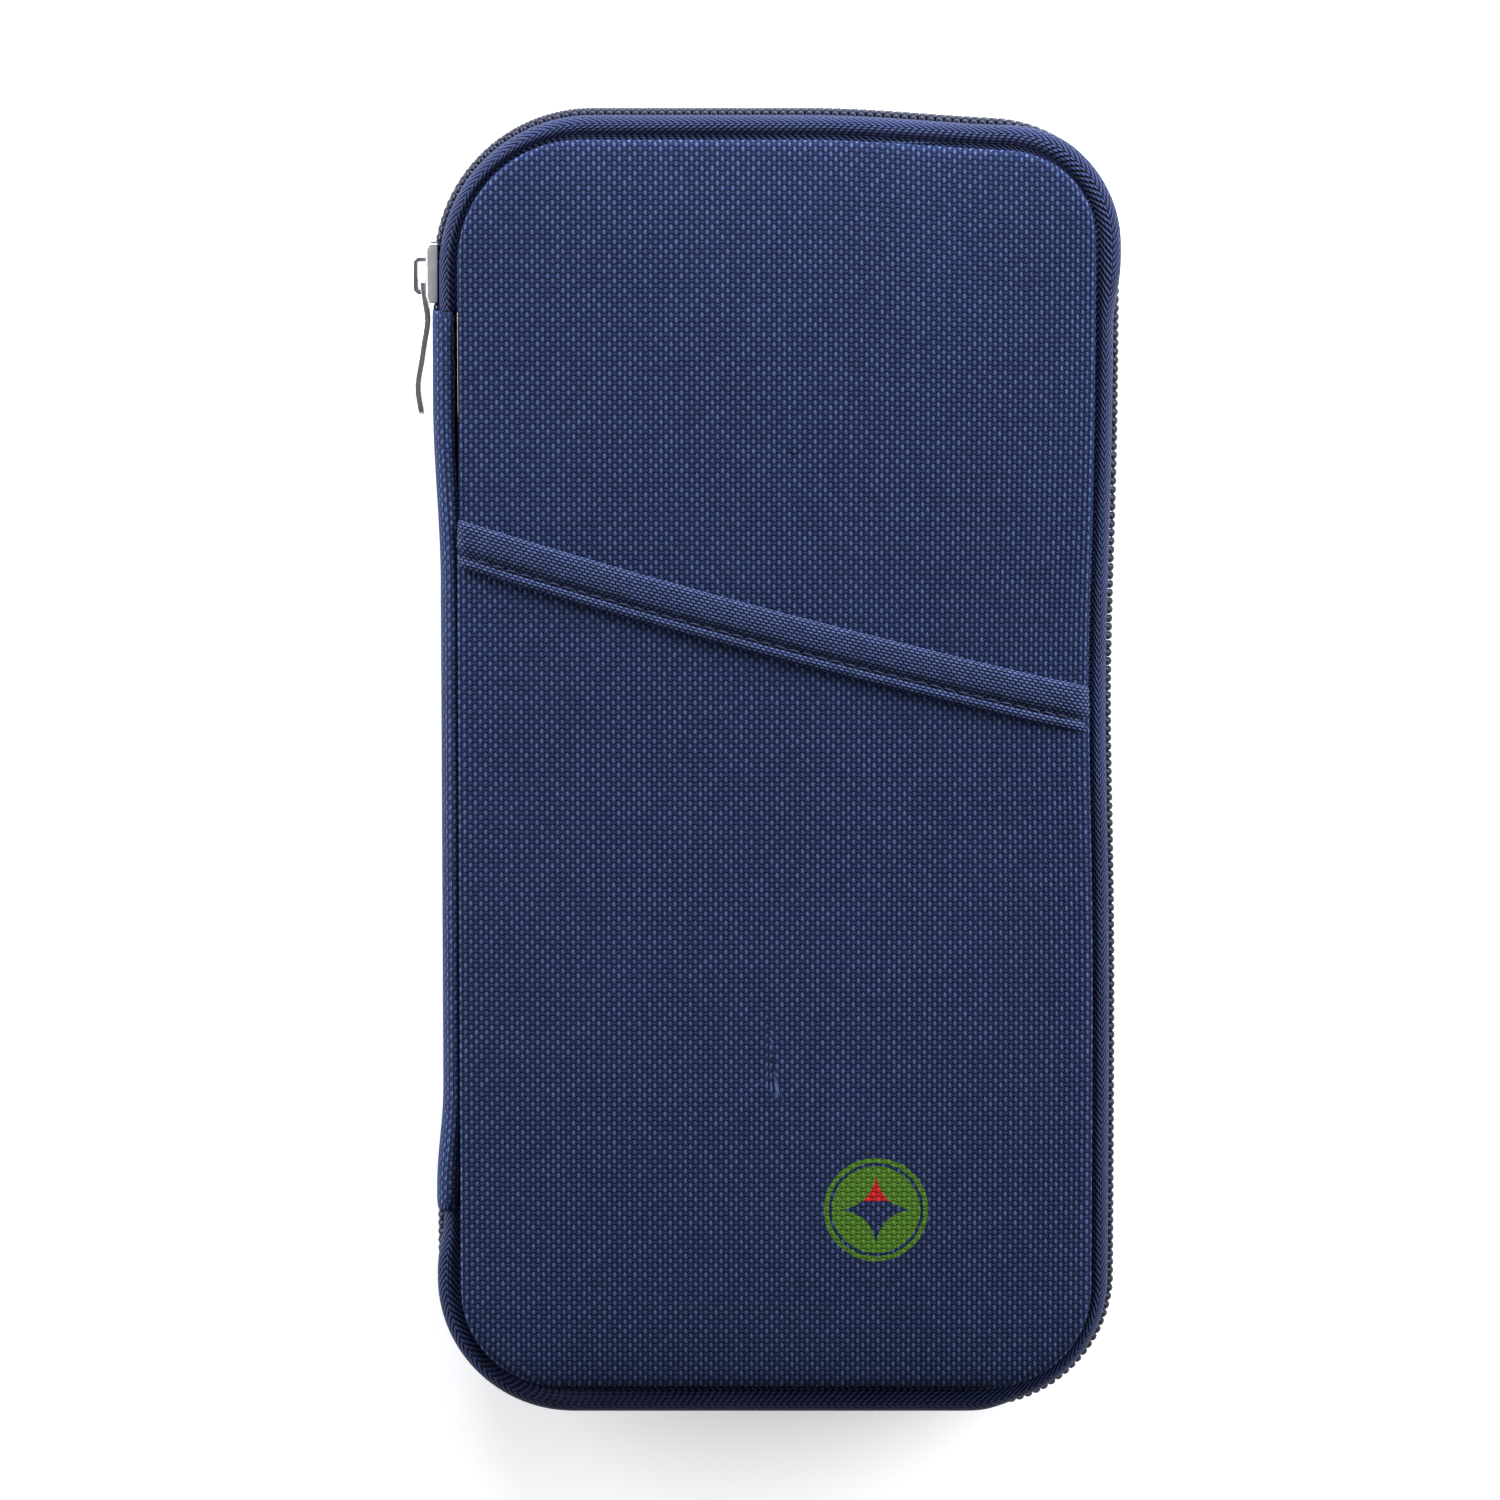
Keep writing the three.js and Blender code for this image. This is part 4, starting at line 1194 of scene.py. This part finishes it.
SPINE_LINE = both_sides(
    [
        (1.95, -9.55), (1.35, -8.8), (0.80, -7.6), (0.25, -5.0), (0.0, 0.0),
        (0.25, 5.0), (0.80, 7.6), (1.35, 8.8), (1.95, 9.55),
    ],
    0.6,
)
CREASE_LINE = both_sides(
    [(1.75, 9.2), (2.05, 9.7), (2.4, 9.95), (2.75, 9.75), (3.0, 9.35), (3.3, 9.0), (3.9, 8.8)], 0.5
)

spine = strip("spine_cloth", SPINE_LINE, SPINE_LOW[1], SPINE_HIGH[1], 2.5, OXFORD)
modified(spine, SUBSURF=ONCE)
placed(spine, "spine", "oxford_fabric", "spine_fabric")

for name, bodies, outward in (
    ("crease_front", ("spine", "front_cover"), 1),
    ("crease_back", ("spine", "back_cover"), -1),
):
    line = [(a, outward * h) for a, h in CREASE_LINE]
    crease = strip(name, line, SPINE_LOW[1] + 0.3, SPINE_HIGH[1] - 0.3, 2.5, OXFORD)
    modified(crease, SUBSURF=ONCE)
    start = np.array((SPINE_X + 0.7, 0, MID + outward * 9.2)) * MM
    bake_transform(crease)
    print(name, "faces", len(crease.data.polygons))

# %% [markdown]
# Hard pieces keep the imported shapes. A copy's loose triangles are merged, its flat
# faces joined, and every edge gets a small rounded bevel, which is what catches
# the light on a real casting.


# %% Rounded copies of hard and flat pieces
SLOTS = {part["node"]: part["material_slot"] for part in frame["record"]["subparts"]}


def curve_mesh(work, cuts, move):
    """Cuts a mesh across at these heights, then moves every point."""
    for y in cuts:
        parts = work.verts[:] + work.edges[:] + work.faces[:]
        bmesh.ops.bisect_plane(work, geom=parts, plane_co=(0, y * MM, 0), plane_no=(0, 1, 0))
    for v in work.verts:
        v.co = Vector(move(v.co / MM)) * MM


def lay_cloth_map(work):
    """A cloth map in millimetres, seen square on to each face."""
    layer = work.loops.layers.uv.new("cloth")
    for face in work.faces:
        flat = abs(face.normal.z) > 0.6
        wide = abs(face.normal.y) > abs(face.normal.x)
        for loop in face.loops:
            x, y, z = loop.vert.co / MM
            loop[layer].uv = (x, y) if flat else ((x, z) if wide else (z, y))


def hard(node, name, material, radius, segments=3, bend=None):
    """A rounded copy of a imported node, riding on the same body."""
    source = frame["nodes"][node]
    mesh = source.data.copy()
    mesh.materials.clear()
    mesh.materials.append(material)
    work = bmesh.new()
    work.from_mesh(mesh)
    bmesh.ops.remove_doubles(work, verts=work.verts, dist=0.000004)
    bmesh.ops.dissolve_limit(work, angle_limit=math.radians(1), verts=work.verts, edges=work.edges)
    sharp = [e for e in work.edges if len(e.link_faces) == 2 and e.calc_face_angle() > math.radians(20)]
    rounding = {"offset": radius * MM, "segments": segments, "profile": 0.5}
    bmesh.ops.bevel(work, geom=sharp, affect="EDGES", clamp_overlap=True, **rounding)
    if bend:
        curve_mesh(work, *bend)
    lay_cloth_map(work)
    work.to_mesh(mesh)
    work.free()
    for extra in [u for u in mesh.uv_layers if u.name != "cloth"]:
        mesh.uv_layers.remove(extra)
    return placed(linked(name, mesh), source.get("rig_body"), SLOTS[node], node)


def pull_curve(point):
    """The pull tab is pressed in a lazy S, towards the spine and out again."""
    x, y, z = point
    near = 0.85 * math.exp(-(((y - 81.5) / 4.2) ** 2))
    away = 0.95 * math.exp(-(((y - 69.0) / 4.4) ** 2))
    return x + near - away, y, z


hard("slider_body", "slider_casting", ZINC, 0.34, segments=4)
hard("slider_crown", "slider_bridge", PULL_METAL, 0.3)
pull_low, pull_high = box_mm("pull_tab")
cuts = np.arange(pull_low[1] + 1, pull_high[1] - 4.5, 0.9)
hard("pull_tab", "pull_tab_curved", PULL_METAL, 0.3, bend=(cuts, pull_curve))
hard("coin_slider_body", "coin_slider_casting", ZINC, 0.18)
hard("coin_slider_crown", "coin_slider_bridge", PULL_METAL, 0.18)
hard("coin_pull_tab", "coin_pull_pressed", PULL_METAL, 0.14)
hard("coin_stop_left", "coin_stop_crimp_left", ZINC, 0.2)
hard("coin_stop_right", "coin_stop_crimp_right", ZINC, 0.2)

# %% [markdown]
# Inside, everything is lining cloth with bound edges. The flat pieces keep their
# packed outlines with softened edges, the bindings are rolled tapes with their
# own groove, and rows of stitches hold them down.

# %% Inner panels
FLAT_CLOTH = [
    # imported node, rounding of its edges, whether it is one flat cut sheet
    ("front_lining", 0.2, True), ("back_lining", 0.2, True), ("ticket_pocket_panel", 0.16, True),
    ("passport_pocket_panel", 0.16, True), ("coin_pocket_panel", 0.3, False),
    ("spine_lining", 0.16, False), ("id_window_frame", 0.2, False),
    *((f"card_tier_{k}", 0.16, True) for k in range(1, 5)),
]
for node, radius, is_sheet in FLAT_CLOTH:
    panel = hard(node, node + "_cloth", LINING, radius)
    if is_sheet:
        low, high = box_mm(node)
hard("id_window_film", "id_window_clear", FILM, 0.08, segments=2)
hard("pen_loop", "pen_loop_elastic", ELASTIC, 0.16, segments=2)
for node in ("coin_tape_upper", "coin_tape_lower"):
    hard(node, node + "_twill", TAPE, 0.12, segments=2)
for node in ("front_inner_binding", "back_inner_binding"):
    hard(node, node + "_tape", BINDING, 0.15, segments=2)

# %% [markdown]
# A straight binding is a shallow tape with a stitch groove. Its profile runs the
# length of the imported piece, whichever way that lies.

# %% Inner bindings
# Shares of the half width and of the thickness.
ROLLED_LINE = [
    (-0.98, 0.0), (-1.0, 0.45), (-0.85, 0.8), (-0.5, 0.92), (-0.12, 0.88), (0.12, 0.55),
    (0.3, 0.55), (0.5, 0.9), (0.82, 0.85), (1.0, 0.45), (0.98, 0.0),
]


def straight_binding(node, sign):
    """A rolled tape in place of a flat packed strip; sign is +1 where it faces up."""
    low, high = box_mm(node)
    size = high - low
    along = 0 if size[0] > size[1] else 1
    half = size[1 - along] / 2
    base, top = (low[2], high[2]) if sign > 0 else (high[2], low[2])
    rise = abs(top - base)
    n = max(8, round(size[along] / 3))
    rings = []
    for k in range(n + 1):
        s = low[along] + 0.1 + (size[along] - 0.2) * k / n
        ring = []
        for a, h in ROLLED_LINE:
            across = (low[1 - along] + high[1 - along]) / 2 + a * half
            z = base + sign * h * rise
            ring.append((s, across, z) if along == 0 else (across, s, z))
        rings.append(ring)
    piece = skin(node + "_tape", rings, BINDING, sag=False)
    modified(piece, SUBSURF=ONCE)
    body = frame["nodes"][node].get("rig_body")
    return placed(piece, body, "woven_binding", node)


MOUTH_TAPES = ("ticket_pocket_binding", "passport_pocket_binding")
for node in (*MOUTH_TAPES, "pocket_side_binding_left", "pocket_side_binding_right"):
    straight_binding(node, 1)
for node in ("card_side_binding_left", "card_side_binding_right"):
    straight_binding(node, -1)

# %% [markdown]
# Stitches are short thread loops, each a rod that dives at both ends. The same
# tree that repeats the coil's loops repeats them along each seam.

# %% Stitches
STITCH = 2.6
THREAD_R = 0.17


def stitch_item(sign):
    rings = []
    for k in range(7):
        bow = math.sin(math.pi * k / 6)
        x = (k / 6 - 0.5) * 0.82 * STITCH
        rise = 0.16 * bow - 0.05
        r = THREAD_R * (0.55 + 0.45 * bow)
        rings.append([(x, c * r, sign * (rise + s * r)) for c, s in turned(6)])
    return skin("stitch_item_" + ("up" if sign > 0 else "down"), rings, THREAD, sag=False)


stitch_up, stitch_down = stitch_item(1), stitch_item(-1)


def even_line(a, b, step=2.0):
    a, b = np.array(a, float), np.array(b, float)
    n = max(2, round(float(np.linalg.norm(b - a)) / step))
    return [a + (b - a) * k / n for k in range(n + 1)]


def sewn(name, path, body, item, seed):
    row = repeated(name, path, item, STITCH, THREAD, 0.05, seed)
    return placed(row, body, "woven_binding")


groove = [p + np.array((0, GROOVE, 0.26)) for p in MOUTH[4:-4]]
sewn("stitches_mouth", groove, "front_cover", stitch_up, 5)


def edge_row(node, sign, inset, body, seed, sides):
    """Stitches along the left, right, bottom or top edge of a flat piece."""
    low, high = box_mm(node)
    z = (high[2] if sign > 0 else low[2]) + sign * 0.02
    (x0, y0), (x1, y1) = low[:2] + inset, high[:2] - inset
    ends = {"l": (x0, y0, x0, y1), "r": (x1, y0, x1, y1), "b": (x0, y0, x1, y0), "t": (x0, y1, x1, y1)}
    item = stitch_up if sign > 0 else stitch_down
    for key in sides:
        ax, ay, bx, by = ends[key]
        sewn(f"stitches_{node}_{key}", even_line((ax, ay, z), (bx, by, z)), body, item, seed)


edge_row("coin_pocket_panel", 1, 2.0, "back_cover", 7, "lrbt")
edge_row("id_window_frame", -1, 1.8, "front_cover", 9, "lrbt")
for k in range(1, 5):
    edge_row(f"card_tier_{k}", -1, 2.2, "front_cover", 10 + k, "t")
for node in MOUTH_TAPES:
    low, high = box_mm(node)
    y = (low[1] + high[1]) / 2 + 0.21 * (high[1] - low[1]) / 2
    z = low[2] + 0.62 * (high[2] - low[2])
    line = even_line((low[0] + 2, y, z), (high[0] - 2, y, z))
    sewn("stitches_" + node, line, "back_cover", stitch_up, 21)
bpy.data.objects.remove(stitch_up)
bpy.data.objects.remove(stitch_down)

# %% [markdown]
# The coin pocket's zip is a smaller coil of the same kind, made by the same tree
# from a loop that lies flat.

# %% Coin pocket coil
SMALL_PITCH = 1.1
SMALL_LOOP = [(0.2, 0.25), (0.75, 0.55), (1.3, 0.62), (1.75, 0.45), (2.0, 0.12)]


def small_loop(name, sign):
    """A flat-lying loop that reaches to one side of the line."""
    rings = []
    for across, height in SMALL_LOOP:
        rings.append([(0.34 * c, sign * across * 0.85, height + 0.26 * s) for c, s in turned(8)])
    return skin(name, rings, NYLON, sag=False)


for side, sign in (("upper", 1), ("lower", -1)):
    low, high = box_mm("coin_coil_" + side)
    middle = low[1] - 0.4 if sign > 0 else high[1] + 0.4
    item = small_loop("small_loop_" + side, sign)
    shift = 0.35 if sign < 0 else 0.0
    line = even_line((low[0] + 0.5 + shift, middle, low[2]), (high[0] - 0.5 + shift, middle, low[2]))
    coil = repeated("coin_loops_" + side, line, item, SMALL_PITCH, NYLON, 0.03, 4)
    placed(coil, "back_cover", "nylon_coil", "coin_coil_" + side)
    bpy.data.objects.remove(item)

# %% [markdown]
# The spine's stiffener stays as packed, because only its edges can be glimpsed
# between cloth and lining. It still gets a proper finish.

# %% Finishes for what stays
for node, piece in frame["nodes"].items():
    if piece.hide_render:
        continue
    piece.data.materials.clear()
    piece.data.materials.append(BOARD)
    print("kept", node)
